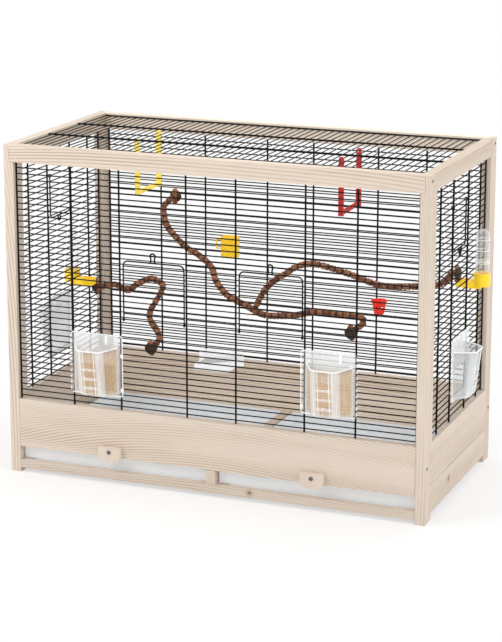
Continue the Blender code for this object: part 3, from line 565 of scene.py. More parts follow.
def grilleLayout(side):
    # The uprights' distances from the wall's middle, and the spans whose rows are cut away.
    inner = grille["innerBay"] / 2
    gaps = []

    def cut(start, end, row, rows):
        gaps.append((sorted((start, end)), row + 1, row + rows - 1))

    if side in ("front", "rear"):
        columns = [inner, inner + grille["doorBay"], inner + grille["doorBay"] + grille["feederBay"]]
    else:
        columns = [inner, inner + grille["drinkerBay"]]
    if side == "front":
        for sign, feeder in ((-1, feederPlace["frontLeft"]), (1, feederPlace["frontRight"])):
            cut(sign * columns[0], sign * columns[1], doorPlace["frontFirst"], doorPlace["frontRows"])
            cut(sign * columns[1], sign * columns[2], feeder, feederPlace["rows"])
    if side in ("left", "right"):
        sign = 1 if side == "right" else -1
        cut(-inner, inner, doorPlace["sideFirst"], doorPlace["sideRows"])
        cut(-inner, inner, feederPlace["side"], feederPlace["rows"])
        cut(sign * columns[0], sign * columns[1], drinkerPlace[side], 2)
    return columns, gaps


def gridParts(rows, rowRadius, columns, edges):
    return [wires("rows", rows, rowRadius), wires("columns", columns, grille["columnRadius"]),
            wires("edges", edges, grille["edgeRadius"])]


def makeWallGrille(side):
    node = "grille_" + side
    low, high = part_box(node)
    half = (high - low)[0 if side in ("front", "rear") else 1] / 2 - grille["edgeRadius"]
    columns, gaps = grilleLayout(side)
    rows = []
    for index in range(grille["rows"]):
        z = rowHeight(index)
        cuts = sorted(span for span, first, last in gaps if first <= index <= last)
        starts = [-half] + [span[1] for span in cuts]
        ends = [span[0] for span in cuts] + [half]
        rows += [((a, 0, z), (b, 0, z)) for a, b in zip(starts, ends)]
    out = grille["rowRadius"] + grille["columnRadius"] * grille["columnSeat"]
    uprights = [((s * c, -out, low.z), (s * c, -out, high.z)) for c in columns for s in (-1, 1)]
    edges = [((s * half, 0, low.z), (s * half, 0, high.z)) for s in (-1, 1)]
    item = joinPieces("wire_wall_" + side, gridParts(rows, grille["rowRadius"], uprights, edges))
    finishPiece(placed(item, wallMatrix(side)), wireMaterial, "cage_frame", [node])


def makeRoofGrille():
    low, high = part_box("grille_roof")
    radius = grille["edgeRadius"]
    left, right = low.x + radius, high.x - radius
    front, rear = low.y + radius, high.y - radius
    z = cage["height"] - cage["roofInset"]
    last = grille["roofWires"] - 1
    places = [left + (right - left) * index / last for index in range(last + 1)]
    rows = [((x, front, z), (x, rear, z)) for x in places]
    over = z + grille["rowRadius"] + grille["columnRadius"] * grille["columnSeat"]
    crossed = [middleY + s * grille["roofCross"] / 2 for s in (-1, 1)]
    cross, edges = ([((left - radius, y, level), (right + radius, y, level)) for y in levels]
                    for levels, level in ((crossed, over), ((front, rear), z)))
    item = joinPieces("wire_roof", gridParts(rows, grille["roofRadius"], cross, edges))
    finishPiece(item, wireMaterial, "cage_frame", ["grille_roof"])


for wallSide in ("front", "rear", "left", "right"):
    makeWallGrille(wallSide)
makeRoofGrille()
print("grilles ready")


# Wire doors

wireDoor = {
    "gap": 0.0042,
    "radius": 0.0014,
    "corner": 0.009,
    "eyeRadius": 0.0029,
    "eyeWire": 0.0011,
    "loopRadius": 0.0050,
    "legs": 0.0036,
    "feet": 0.0085,
    "neck": 0.0035,
    "footBend": 0.0012,
    "footRise": (0.0004, 0.0006),
    "loopArc": (224, -44),
    "latchBend": 0.001,
    "latchReach": 0.0056,
    "latchWire": 0.0015,
    "latchOut": 0.0028,
    "topGap": 0.006,
}


def latchOutline(low, over):
    # A round loop on two close legs, whose feet are splayed along the door's upper bar.
    loop, legs, feet = wireDoor["loopRadius"], wireDoor["legs"], wireDoor["feet"]
    neck = min(low + wireDoor["neck"], over - 2 * loop)
    tip, heel = wireDoor["footRise"]
    foot = [(-feet, low + tip), (-legs - wireDoor["footBend"], low + heel), (-legs, neck)]
    ring = arcPoints((0, over - loop), loop, *wireDoor["loopArc"], 12)
    return foot + ring + [(-x, z) for x, z in foot[::-1]]


def makeDoor(node, side, along, bay, first, count, hingeLow):
    pitch = grille["rowPitch"]
    radius, corner, eye = wireDoor["radius"], wireDoor["corner"], wireDoor["eyeRadius"]
    half = bay / 2 - wireDoor["gap"] - radius
    high = (count - 1) * pitch - radius if hingeLow else count * pitch - wireDoor["topGap"]
    outline = [(half, eye)] + arcPoints((half - corner, high - corner), corner, 0, 90, 6)
    outline += arcPoints((corner - half, high - corner), corner, 90, 180, 6) + [(-half, eye)]
    levels = [index * pitch for index in range(1, count) if index * pitch < high - radius]
    bars = [((-half, 0, z), (half, 0, z)) for z in levels]
    parts = [wires("frame", [[(x, 0, z) for x, z in outline]], radius),
             wires("bars", bars, grille["rowRadius"])]
    for x in (-half, half):
        ring = [(x, y, z) for y, z in arcPoints((0, 0), eye, 85, 425, 12)]
        parts.append(wires("eye", [ring], wireDoor["eyeWire"]))
    latch = latchOutline(high, count * pitch + wireDoor["latchReach"])
    parts.append(wires("latch", [[(x, -wireDoor["latchOut"], z) for x, z in latch]], wireDoor["latchWire"],
                       wireDoor["latchBend"]))
    item = joinPieces(node + "_wires", parts)
    if not hingeLow:
        placed(item, Matrix.Scale(-1, 4, Vector((0, 0, 1))))
    hinge = rowHeight(first if hingeLow else first + count)
    finishPiece(placed(item, wallMatrix(side, along, hinge)), wireMaterial, node, [node])


frontMiddle = (grille["innerBay"] + grille["doorBay"]) / 2
for doorSign, doorSide in ((-1, "left"), (1, "right")):
    makeDoor("door_front_" + doorSide, "front", doorSign * frontMiddle, grille["doorBay"],
             doorPlace["frontFirst"], doorPlace["frontRows"], True)
    makeDoor("door_side_" + doorSide, doorSide, 0, grille["innerBay"],
             doorPlace["sideFirst"], doorPlace["sideRows"], False)
print("doors ready")


# Timber

timber = {
    "edge": 0.0007,
    "buttonEdge": 0.0014,
    "contrast": 1.35,
    "contrasts": {"rail_top_rear": 1.0, "rail_top": 1.8, "board_rear": 1.8, "turn_button": 0.80},
    "bows": {"board_front_upper": 55.0, "board_right_upper": 30.0, "rail_bottom_front": 25.0},
}
# Each piece's grain direction, its place in the grain, and how light it is. The rear top rail's and the rear
# boards' high values are painted light, lifting them out of the shade inside the cage.
timberPieces = {
    "post_front_left": ("Z", (0.10, 0.31, 0.0), 1.03),
    "post_front_right": ("Z", (0.73, 0.11, 0.2), 1.0),
    "post_rear_left": ("Z", (0.47, 0.93, 0.1), 0.97),
    "post_rear_right": ("Z", (0.29, 0.57, 0.3), 1.0),
    "rail_top_front": ("X", (0.20, 0.43, 0.61), 1.04),
    "rail_top_rear": ("X", (0.50, 0.17, 0.33), 1.28),
    "rail_top_left": ("Y", (0.87, 0.30, 0.12), 1.0),
    "rail_top_right": ("Y", (0.41, 0.60, 0.87), 0.98),
    "rail_bottom_front": ("X", (0.33, 0.77, 0.25), 0.93),
    "board_front_upper": ("X", (0.10, 0.59, 0.03), 1.0),
    "board_rear_upper": ("X", (0.64, 0.21, 0.47), 1.30),
    "board_rear_lower": ("X", (0.14, 0.83, 0.71), 1.34),
    "board_left_upper": ("Y", (0.77, 0.10, 0.57), 1.0),
    "board_left_lower": ("Y", (0.23, 0.40, 0.19), 0.97),
    "board_right_upper": ("Y", (0.57, 0.70, 0.43), 0.99),
    "board_right_lower": ("Y", (0.91, 0.20, 0.67), 0.97),
    "tray_divider": ("Y", (0.07, 0.50, 0.37), 0.97),
    "tray_runner_left": ("Y", (0.51, 0.90, 0.13), 0.95),
    "tray_runner_right": ("Y", (0.17, 0.10, 0.53), 0.95),
    "turn_button_left": ("Z", (0.83, 0.27, 0.79), 1.02),
    "turn_button_right": ("Z", (0.37, 0.61, 0.29), 1.01),
}
timberKnots = {
    "rail_bottom_front": [(cagePoint(0.076, -0.205, 0.018), 0.0045)],
    "board_right_lower": [(cagePoint(0.405, -0.062, 0.042), 0.0050)],
}


def makeTimber():
    for node, (axis, offset, toneAndPaintedLight) in timberPieces.items():
        button = node.startswith("turn_button")
        bow = timber["bows"].get(node, woodFinish["bow"])
        contrasts = [strength for start, strength in timber["contrasts"].items() if node.startswith(start)]
        wood = makeWood("wood_" + node, axis, offset, toneAndPaintedLight, timberKnots.get(node, ()), bow,
                        (contrasts + [timber["contrast"]])[0])
        moulded(node, "wood", timber["buttonEdge" if button else "edge"], wood,
                node if button else "cage_frame")


makeTimber()
print("timber ready")


# Trays

trayEdge = 0.0020
for traySide in ("left", "right"):
    moulded("tray_" + traySide, "moulding", trayEdge, trayMaterial)


# Screws

# The profile is in shares of the head's radius, with levels in metres.
screwLook = {
    "frameRadius": 0.0034,
    "buttonRadius": 0.0040,
    "buttonDepth": 0.0016,
    "profile": [(0, 0.0022), (0.55, 0.0022), (1, 0.0004), (1, -0.000225), (0.86, -0.000648), (0.5, -0.000855),
                (0, -0.0009)],
    "frameCross": (0.34, 0.0011),  # the arms' width in the head's radius, and their depth
    "buttonCross": (0.62, 0.0024),
    "crossReach": 0.62,
    "spin": 28,
}


def makeScrewGraph():
    graph = Graph("screwSet", Screw="Object", Turn=(0, 0, 0))
    head = graph.add("GeometryNodeObjectInfo", {"Object": graph.given("Screw")}, "Geometry")
    turn = graph.add("FunctionNodeEulerToRotation", {0: graph.given("Turn")})
    values = {"Points": graph.given("Geometry"), "Instance": head, "Rotation": turn}
    return graph.close(graph.add("GeometryNodeInstanceOnPoints", values))


screwGraph = makeScrewGraph()


def makeScrewHead(radius, cross):
    # Seen along -Y: a low dome with a cross cut into it, its edge in the plane of the hole's mouth.
    work = bmesh.new()
    dome = -screwLook["profile"][-1][1]
    turned(work, [(share * radius, level) for share, level in screwLook["profile"]], 28, "Y")
    head = fromBmesh("screw_head", work)
    arm, reach = radius * cross[0] / 2, radius * screwLook["crossReach"]
    spin = Matrix.Rotation(math.radians(screwLook["spin"]), 4, "Y")
    for across, upright in ((reach, arm), (arm, reach)):
        outline = rectangle(-across, across, -upright, upright)
        cutter = placed(slab("cross_slot", outline, -radius, cross[1] - dome), spin)
        head.modifiers.new("cut", "BOOLEAN").object = cutter
        head = applied(head)
        bpy.data.objects.remove(cutter, do_unlink=True)
    head.data.shade_smooth()
    head.data.set_sharp_from_angle(angle=math.radians(30))
    return head


def makeScrewSet(name, spots, kind, turn, replaced):
    head = makeScrewHead(screwLook[kind + "Radius"], screwLook[kind + "Cross"])
    item = screwGraph.grow(routeObject(name, [[spot] for spot in spots]), Screw=head,
                           Turn=(0, 0, math.radians(turn)), Material=steelMaterial)
    bpy.data.objects.remove(head, do_unlink=True)
    finishPiece(item, steelMaterial, "cage_frame", replaced)


def screwMouth(node, axis, sign):
    low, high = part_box(node)
    mouth = (low + high) / 2
    mouth[axis] = high[axis] if sign > 0 else low[axis]
    return mouth


for screwSide, screwSign in (("left", -1), ("right", 1)):
    screwNames = [name for name in nodes if name.startswith(f"screw_{screwSide}")]
    screwSpots = [screwMouth(name, 0, screwSign) for name in screwNames]
    makeScrewSet(f"frame_screws_{screwSide}", screwSpots, "frame", screwSign * 90, screwNames)
    screwName = f"turn_button_screw_{screwSide}"
    screwSpot = screwMouth(screwName, 1, -1) + Vector((0, screwLook["buttonDepth"], 0))
    makeScrewSet(f"button_screw_{screwSide}", [screwSpot], "button", 0, [screwName])
print("screws ready")


# Perches

perchLook = {
    "Radius": 0.0061,
    "Segment": 0.0150,
    "Notch": 0.34,
    "Bulge": 0.10,
    "Lumps": 0.0016,
    "Step": 0.0014,
    "Sides": 16,
}
perchSeeds = {"perch_long": 3.0, "perch_short": 8.5}
# The routes give the middle of each branch in millimetres, in cage coordinates, from the wall inwards.
perchRoutes = {
    "perch_long": [
        [(-239, 187, 464), (-239, 181, 464), (-243, 175, 460), (-251, 162, 449), (-246, 148, 440),
         (-226, 123, 417), (-183, 106, 386), (-145, 91, 373), (-114, 76, 356), (-99, 61, 335),
         (-70, 46, 313), (-25, 31, 300), (15, 16, 290), (52, 8, 293), (85, 1, 299), (134, -15, 314),
         (196, -30, 318), (224, -38, 319), (234, -45, 311), (217, -51, 295)],
        [(-6, 24, 295), (12, 25, 330), (28, 27, 350), (53, 28, 368), (80, 30, 386), (110, 32, 392),
         (149, 33, 386), (188, 32, 377), (240, 30, 364), (302, 27, 368), (345, 23, 374), (366, 20, 386),
         (381, 18, 402), (387, 18, 402)],
    ],
    "perch_short": [
        [(-387, 138, 280), (-381, 138, 280), (-344, 130, 289), (-322, 123, 284), (-306, 115, 285),
         (-288, 107, 299), (-267, 100, 311), (-249, 92, 318), (-232, 84, 318), (-217, 77, 311),
         (-218, 69, 298), (-229, 54, 273), (-231, 46, 262), (-227, 38, 251), (-203, 23, 230),
         (-199, 16, 218), (-208, 9, 207)],
    ],
}
# The profiles are in shares of a knob's radius and of its thickness, away from where it sits.
knobLook = {
    "radius": 0.0118,
    "thickness": 0.0085,
    "profile": [(0, 0), (0.82, 0), (0.95, 0.077), (1, 0.22), (1, 0.55), (0.93, 0.78), (0.80, 0.92),
                (0.72, 0.93), (0.64, 1), (0, 1)],
    "endRadius": 0.0120,
    "endLength": 0.0145,
    "endProfile": [(0, -0.069), (0.62, -0.069), (0.93, 0.12), (1, 0.30), (0.90, 0.42), (0.99, 0.52),
                   (0.97, 0.80), (0.86, 0.95), (0.60, 1), (0.52, 0.93), (0, 0.93)],
    "endLean": 0.45,
    "scallops": 7,
    "scallopDepth": 0.075,
    "wingHalfWidth": 0.0047,
    "wingHalfHeight": 0.0158,
    "wingLevels": (0.0030, 0.0098),
    "wingCorner": 0.0042,
    "wingEdge": 0.0013,
}


def makeBarkGraph():
    # A branch made of short segments: each swells a little and ends in a notch all round, marked for the
    # painted shade that darkens it.
    graph = Graph("barkBranch", **perchLook, Seed=0.0)
    curve = graph.add("GeometryNodeCurveSplineType", {"Curve": graph.routes()}, spline_type="CATMULL_ROM")
    values = {"Curve": curve, "Length": graph.given("Step")}
    curve = graph.add("GeometryNodeResampleCurve", values, mode="LENGTH")
    length = graph.add("GeometryNodeSplineParameter", output="Length")
    place, seed = graph.add("GeometryNodeInputPosition"), graph.given("Seed")
    sway = graph.noise(place, 38.0, 1.0, W=seed)
    count = length / graph.given("Segment") + sway * 0.9
    edge = (count.run("FRACT") - 0.5).run("ABSOLUTE") * 2.0
    notch = edge.ramp(0.66, 0.86)
    width = edge.ramp(0.26, 0.66) * graph.given("Bulge") - notch * graph.given("Notch") + (sway * 0.18 + 0.90)
    for label, value in (("ring", notch), ("width", width)):
        values = {"Geometry": curve, "Name": label, "Value": value}
        curve = graph.add("GeometryNodeStoreNamedAttribute", values, data_type="FLOAT", domain="POINT")
    stored = graph.add("GeometryNodeInputNamedAttribute", {"Name": "width"}, data_type="FLOAT")
    rod = graph.rod(curve, Scale=stored)
    push = (graph.noise(place, 210.0, 2.0, W=seed) - 0.5) * graph.given("Lumps")
    normal = graph.add("GeometryNodeInputNormal")
    offset = graph.add("ShaderNodeVectorMath", {0: normal, "Scale": push}, operation="SCALE")
    moved = graph.add("GeometryNodeSetPosition", {"Geometry": rod, "Offset": offset})
    return graph.close(graph.smooth(moved))


barkGraph = makeBarkGraph()


def makeKnob(name, shares, radius, thickness, matrix, slotNodes=()):
    # A round knob with a scalloped rim, whose face looks along -Y before it is placed.
    work = bmesh.new()
    profile = [(share * radius, -level * thickness) for share, level in shares]
    turned(work, profile, knobLook["scallops"] * 8, "Y")
    for corner in work.verts:
        reach = math.hypot(corner.co.x, corner.co.z)
        wave = 0.5 - 0.5 * math.cos(knobLook["scallops"] * math.atan2(corner.co.z, corner.co.x))
        factor = 1 - knobLook["scallopDepth"] * (wave ** 3) * (reach / radius) ** 3
        corner.co.x *= factor
        corner.co.z *= factor
    knob = placed(fromBmesh(name, work, 50), matrix)
    finishPiece(knob, knobMaterial, "cage_frame", slotNodes)


def makeWing(name, matrix):
    # The upright bar across a knob's face, its corners rounded by wear.
    near, far = knobLook["wingLevels"]
    across, reach = knobLook["wingHalfWidth"], knobLook["wingHalfHeight"]
    outline = roundedOutline(-across, across, -reach, reach, knobLook["wingCorner"])
    item = bevelled(slab(name, outline, -near, -far), knobLook["wingEdge"], 3)
    finishPiece(placed(item, matrix), wingMaterial, "cage_frame")


def makePerch(node):
    routes = [[cagePoint(*(value / 1000 for value in point)) for point in route]
              for route in perchRoutes[node]]
    item = barkGraph.grow(routeObject(node + "_branch", routes), Seed=perchSeeds[node], Material=barkMaterial,
                          **perchLook)
    finishPiece(item, barkMaterial, "cage_frame", [node])
    before, end = routes[0][-2:]
    facing = ((end - before).normalized() * knobLook["endLean"] + Vector((0, -1, 0))).normalized()
    matrix = Matrix.Translation(end) @ (-facing).to_track_quat("Y", "Z").to_matrix().to_4x4()
    makeKnob(node + "_end", knobLook["endProfile"], knobLook["endRadius"], knobLook["endLength"], matrix)
    makeWing(node + "_wing", matrix)


def makeWallKnob(side):
    node = "perch_knob_" + side
    low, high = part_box(node)
    turn = Matrix.Rotation(math.radians(wallTurn[side]), 4, "Z")
    outwards = turn @ Vector((0, -knobLook["thickness"] / 2, 0))
    matrix = Matrix.Translation((low + high) / 2 + outwards) @ turn @ Matrix.Rotation(math.pi, 4, "Z")
    makeKnob(node + "_turned", knobLook["profile"], knobLook["radius"], knobLook["thickness"], matrix, [node])
    makeWing(node + "_wing", matrix)


for perchNode in perchRoutes:
    makePerch(perchNode)
for knobSide in ("rear", "right", "left"):
    makeWallKnob(knobSide)
print("perches ready")


# Clear feeders

# Measured from the pivot wire and from the lowest row that the feeder's opening cuts away.
feederLook = {
    "low": -0.0031,
    "high": 0.1134,
    "back": -0.00285,
    "front": -0.00465,
    "edge": 0.0005,
    "plateCorner": 0.0015,
    "flangeCorner": 0.005,
    "stripCorner": 0.0010,
    "cupCentre": 0.04775,
    "cupHalf": 0.04175,
    "cupDepth": 0.036,
    "cupWall": 0.0015,
    "cupSteps": (60, 20),  # around and down
    "rim": 0.0893,
    "rimDip": 0.0020,
    "bottomRadius": 0.007,
    "footRise": 0.0035,
    "footSqueeze": 0.55,
    "wallShare": 0.6,
    "cornerShares": (0.26, 0.30),
    "cornerTurns": (0.34, 0.43),
    "taper": 0.30,
    "windowHalf": 0.036,
    "windowLevels": (0.006, 0.056),
    "windowCorner": 0.006,
    "frontHalf": 0.022,
    "ribTurns": (0.452, 0.548),
    "columnClear": 0.0030,
    "leftEdge": -0.0008,
    "rightEdge": 0.1004,
    "fingerEdge": -0.0034,
    "fingerHalf": 0.0036,
    "beadRadius": 0.0009,
    "lipRadius": 0.0014,
    "ribRadius": 0.0007,
    "lipRise": 0.0002,
    "glint": {"middle": 0.0683, "half": 0.0022, "gaps": (0.005, 0.003), "corner": 0.0010, "proud": 0.0012,
              "edge": 0.0004},
    "nub": {"levels": (0.0105, 0.0750), "half": 0.004, "reach": 0.0014, "corner": 0.0022, "proud": 0.0008,
            "edge": 0.0006},
    "clipLevels": (0.01655, 0.09380),
    "clipRadii": (0.00470, 0.00290),
    "clipHalf": 0.003,
    "clipArc": (140, 400),
    "clipEdge": 0.0004,
}


def cupPlan(look, turn):
    # Seen from above: half a hexagon with rounded corners, run through from one side to the other.
    half = 0.5 - abs(turn - 0.5)
    (sideShare, faceShare), (first, last) = look["cornerShares"], look["cornerTurns"]
    side, corner = Vector((look["cupHalf"], 0)), Vector((look["frontHalf"], look["cupDepth"]))
    middle = Vector((0, look["cupDepth"]))
    start, end = corner.lerp(side, sideShare), corner.lerp(middle, faceShare)
    if half < first:
        point = side.lerp(start, half / first)
    elif half < last:
        share = (half - first) / (last - first)
        point = start.lerp(corner, share).lerp(corner.lerp(end, share), share)
    else:
        point = end.lerp(middle, (half - last) / (0.5 - last))
    return Vector((point.x if turn < 0.5 else -point.x, point.y))


def cupSurface(look, turn, fall):
    # A place on the cup: turn runs round its plan, fall from the rim to the bottom.
    plan = cupPlan(look, turn)
    rim = look["rim"] - look["rimDip"] * plan.y / look["cupDepth"]
    bottom = look["low"] + look["footRise"]
    radius, wall = look["bottomRadius"], look["wallShare"]
    bend = math.pi / 2 * max(fall - wall, 0) / (1 - wall)
    if fall <= wall:
        level = rim + (bottom + radius - rim) * fall / wall
    else:
        level = bottom + radius * (1 - math.sin(bend))
    inset = radius * (1 - math.cos(bend))
    sunk = (rim - level) / (rim - bottom)
    across = 1 - inset * look["footSqueeze"] / look["cupHalf"]
    depth = (1 - look["taper"] * sunk) - inset / look["cupDepth"]
    return Vector((look["cupCentre"] + plan.x * across, look["front"] - plan.y * depth, level))


def makeCupShell(look, name):
    work = bmesh.new()
    around, down = look["cupSteps"]
    turnLayer, levelLayer = (work.verts.layers.float.new(label) for label in ("turn", "level"))
    grid = [[work.verts.new(cupSurface(look, i / around, j / down)) for i in range(around + 1)]
            for j in range(down + 1)]
    grid.append([work.verts.new((corner.co.x, look["front"], corner.co.z)) for corner in grid[-1]])
    for row in grid:
        for i, corner in enumerate(row):
            corner[turnLayer] = i / around
            corner[levelLayer] = (corner.co.z - look["low"]) / (look["rim"] - look["low"])
    for upper, lower in zip(grid, grid[1:]):
        for i in range(around):
            work.faces.new((upper[i], upper[i + 1], lower[i + 1], lower[i]))
    bmesh.ops.remove_doubles(work, verts=work.verts, dist=0.00001)
    return applied(walled(fromBmesh(name, work, 60), look["cupWall"]))


def feederPlate(look, name):
    centre, clear, half = look["cupCentre"], look["columnClear"], look["windowHalf"]
    outer = roundedOutline(clear, grille["feederBay"] - clear, look["low"], look["high"], look["plateCorner"])
    window = roundedOutline(centre - half, centre + half, *look["windowLevels"], look["windowCorner"])
    work = bmesh.new()
    ringSlab(work, outer, window, look["front"], look["back"])
    return bevelled(fromBmesh(name, work), look["edge"])


def feederFlange(look):
    # Where the plate passes in front of an upright wire it is thin and quite clear, with a bead along its
    # edge. Past its pivot it is cut into fingers, which swing in between the wall's rows.
    front, clear, corner = look["front"], look["columnClear"], look["flangeCorner"]
    left, right, finger, reach = look["leftEdge"], look["rightEdge"], look["fingerEdge"], look["fingerHalf"]
    spans = [(left, clear, look["low"], look["high"]),
             (grille["feederBay"] - clear, right, look["low"], look["high"])]
    low, high = look["low"] + look["stripCorner"], look["high"] - look["stripCorner"]
    beads = [[(left, low)] + arcPoints((right - corner, low + corner), corner, 270, 360, 5)
             + arcPoints((right - corner, high - corner), corner, 0, 90, 5) + [(left, high)]]
    for row in range(feederPlace["rows"]):
        level = (row + 0.5) * grille["rowPitch"]
        spans.append((finger, left, level - reach, level + reach))
        beads.append([(finger, level + side * (reach - look["beadRadius"])) for side in (-1, 1)])
    strips = [slab("strip", roundedOutline(*span, look["stripCorner"], 2), front, look["back"])
              for span in spans]
    return strips, [[(x, front, z) for x, z in bead] for bead in beads]


def feederClip(look, level):
    # An open ring round the pivot wire.
    (outer, inner), (start, end) = look["clipRadii"], look["clipArc"]
    outline = arcPoints((0, 0), outer, start, end, 14) + arcPoints((0, 0), inner, end, start, 14)
    item = slab("clip", outline, -level - look["clipHalf"], -level + look["clipHalf"])
    return placed(bevelled(item, look["clipEdge"], 1, 60), Matrix.Rotation(-math.pi / 2, 4, "X"))


def feederTrim(look, beads, hand):
    # The bead, the cup's lip and ribs, a glint over the cup and two nubs on the free edge.
    (steps, down), right = look["cupSteps"], look["rightEdge"]
    rim = [cupSurface(look, i / steps, 0.0) + Vector((0, 0, look["lipRise"])) for i in range(steps + 1)]
    ribs = [[cupSurface(look, turn, j / down) for j in range(down - 1)] for turn in look["ribTurns"]]
    parts = [trimRods("bead", beads, look["beadRadius"]), trimRods("lip", [rim], look["lipRadius"]),
             trimRods("ribs", ribs, look["ribRadius"])]

    def raised(shape, *span):
        outline = roundedOutline(*span, shape["corner"])
        item = slab("raised", outline, look["front"] - shape["proud"], look["back"])
        parts.append(bevelled(item, shape["edge"]))

    glint, nub = look["glint"], look["nub"]
    middle = glint["middle"] if hand > 0 else grille["feederBay"] - glint["middle"]
    under, over = glint["gaps"]
    raised(glint, middle - glint["half"], middle + glint["half"], look["rim"] + under, look["high"] - over)
    for level in nub["levels"]:
        raised(nub, right - nub["half"], right + nub["reach"], level - nub["half"], level + nub["half"])
    return parts


def makeFeeder(node, side, along, first, hand):
    look = feederLook
    matrix = wallMatrix(side, along, rowHeight(first), columnOut)
    if hand < 0:
        matrix = matrix @ Matrix.Scale(-1, 4, Vector((1, 0, 0)))
    strips, beads = feederFlange(look)
    clips = [feederClip(look, level) for level in look["clipLevels"]]
    cupMaterial = cupMaterials["front" if side == "front" else "side"]
    pieces = [(feederPlate(look, node + "_plate"), frostMaterial, [node]),
              (makeCupShell(look, node + "_cup"), cupMaterial, []),
              (joinPieces(node + "_clips", strips + clips), clearMaterial, []),
              (joinPieces(node + "_edges", feederTrim(look, beads, hand)), edgeMaterial, [])]
    for item, material, replaced in pieces:
        finishPiece(placed(item, matrix), material, node, replaced)


innerColumn = grille["innerBay"] / 2
outerColumn = innerColumn + grille["doorBay"] + grille["feederBay"]
makeFeeder("feeder_front_left", "front", -outerColumn, feederPlace["frontLeft"], 1)
makeFeeder("feeder_front_right", "front", outerColumn, feederPlace["frontRight"], -1)
makeFeeder("feeder_side_left", "left", innerColumn, feederPlace["side"], -1)
makeFeeder("feeder_side_right", "right", -innerColumn, feederPlace["side"], 1)
print("feeders ready")


# Drinkers

drinkerLook = {
    "edge": 0.0007,
    "tubeRadius": 0.0129,
    "tubeWall": 0.0012,
    "tubeFoot": 0.0008,
    "dome": 0.0115,
    "markLevels": (0.0365, 0.0395, 0.0600, 0.0800),
    "markRadius": 0.0006,
}


def makeTube(node):
    low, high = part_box(node)
    centre = (low + high) / 2
    radius, wall, foot = drinkerLook["tubeRadius"], drinkerLook["tubeWall"], drinkerLook["tubeFoot"]

    def domed(width, top):
        quarter = [(math.cos(math.pi * i / 18), math.sin(math.pi * i / 18)) for i in range(9)]
        return [(width * a, top - drinkerLook["dome"] * (1 - b)) for a, b in quarter] + [(0, top)]

    length = high.z - low.z
    inner, outer = domed(radius - wall, length - wall), domed(radius, length)
    work = bmesh.new()
    turned(work, inner[::-1] + [(radius - wall, foot), (radius - wall / 2, 0), (radius, foot)] + outer, 40)
    tube = placed(fromBmesh(node + "_tube", work, 50), Matrix.Translation((centre.x, centre.y, low.z)))
    finishPiece(tube, clearMaterial, node, [node])
    rings = [[(x, y, low.z + level) for x, y in loopPoints(centre, radius, 32)]
             for level in drinkerLook["markLevels"]]
    trim = trimRods(node + "_marks", rings, drinkerLook["markRadius"])
    finishPiece(trim, edgeMaterial, node)


for drinkerSide in ("left", "right"):
    moulded("drinker_base_" + drinkerSide, "moulding", drinkerLook["edge"], yellowMaterial)
    makeTube("drinker_tube_" + drinkerSide)
print("drinkers ready")


# Swings, treat holders and the ledge

swingLook = {
    "edge": 0.0006,
    "ridges": 11,
    "ridgeRadius": 0.0005,
    "ridgeInset": 0.010,
    "gripRadius": 0.0039,
    "gripHeight": 0.0048,
}


def makeSwing(node, material):
    moulded(node, "moulding", swingLook["edge"], material)
    low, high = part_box(node)
    middle, inset = ((low.x + high.x) / 2, low.z + swingLook["gripHeight"]), swingLook["ridgeInset"]
    last = swingLook["ridges"] - 1
    places = [low.y + inset + (high.y - low.y - 2 * inset) * i / last for i in range(last + 1)]
    ridges = [[(x, y, z) for x, z in loopPoints(middle, swingLook["gripRadius"], 24)] for y in places]
    finishPiece(trimRods(node + "_grip", ridges, swingLook["ridgeRadius"]), material, node)


makeSwing("swing_yellow", paleYellowMaterial)
makeSwing("swing_red", deepRedMaterial)


treatCup = {
    "around": 24,
    "levels": 7,
    "topRadius": 0.0150,
    "bottomRadius": 0.0096,
    "wall": 0.0016,
    "lip": 0.0011,
    "floor": 0.0003,
    "frontReach": 0.0152,
    "topGap": 0.0013,
    "tab": (0.0055, 0.0022, 0.55),  # half its width, its thickness, where it starts up the cup
    "tabEdge": 0.0005,
}


def makeTreatCup():
    # A tapered cup whose wall is pierced in rows, with a tab that hangs on the wire.
    low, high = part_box("treat_cup_red")
    around, levels, top, lip = treatCup["around"], treatCup["levels"], treatCup["topRadius"], treatCup["lip"]
    centre = Vector(((low.x + high.x) / 2, low.y + treatCup["frontReach"], low.z))
    height = high.z - low.z
    work = bmesh.new()
    grid = []
    for level in range(levels + 1):
        share = level / levels
        radius = treatCup["bottomRadius"] + (top - treatCup["bottomRadius"]) * share
        z = treatCup["floor"] + (height - treatCup["topGap"]) * share
        grid.append([work.verts.new((x, y, z)) for x, y in loopPoints((0, 0), radius, around)[:around]])
    middle = work.verts.new((0, 0, treatCup["floor"]))
    for i in range(around):
        j = (i + 1) % around
        work.faces.new((middle, grid[0][j], grid[0][i]))
        for level in range(levels):
            pierced = level in (1, 2, 4) and (i + 2 * (level % 2)) % 4 in (0, 1)
            if not pierced:
                work.faces.new((grid[level][i], grid[level][j], grid[level + 1][j], grid[level + 1][i]))
    item = walled(fromBmesh("cup_wall", work, 60), treatCup["wall"])
    step = item.modifiers.new("round", "SUBSURF")
    step.levels = step.render_levels = 1
    cup = placed(applied(item), Matrix.Translation(centre))
    rim = [(x, y, high.z - lip) for x, y in loopPoints(centre, top, 36)]
    half, thickness, share = treatCup["tab"]
    outline = rectangle(centre.x - half, centre.x + half, low.z + height * share, high.z)
    tab = bevelled(slab("tab", outline, high.y - thickness, high.y), treatCup["tabEdge"])
    parts = [cup, trimRods("lip", [rim], lip), tab]
    item = joinPieces("treat_cup_red_moulding", parts)
    finishPiece(item, redMaterial, "cage_frame", ["treat_cup_red"])


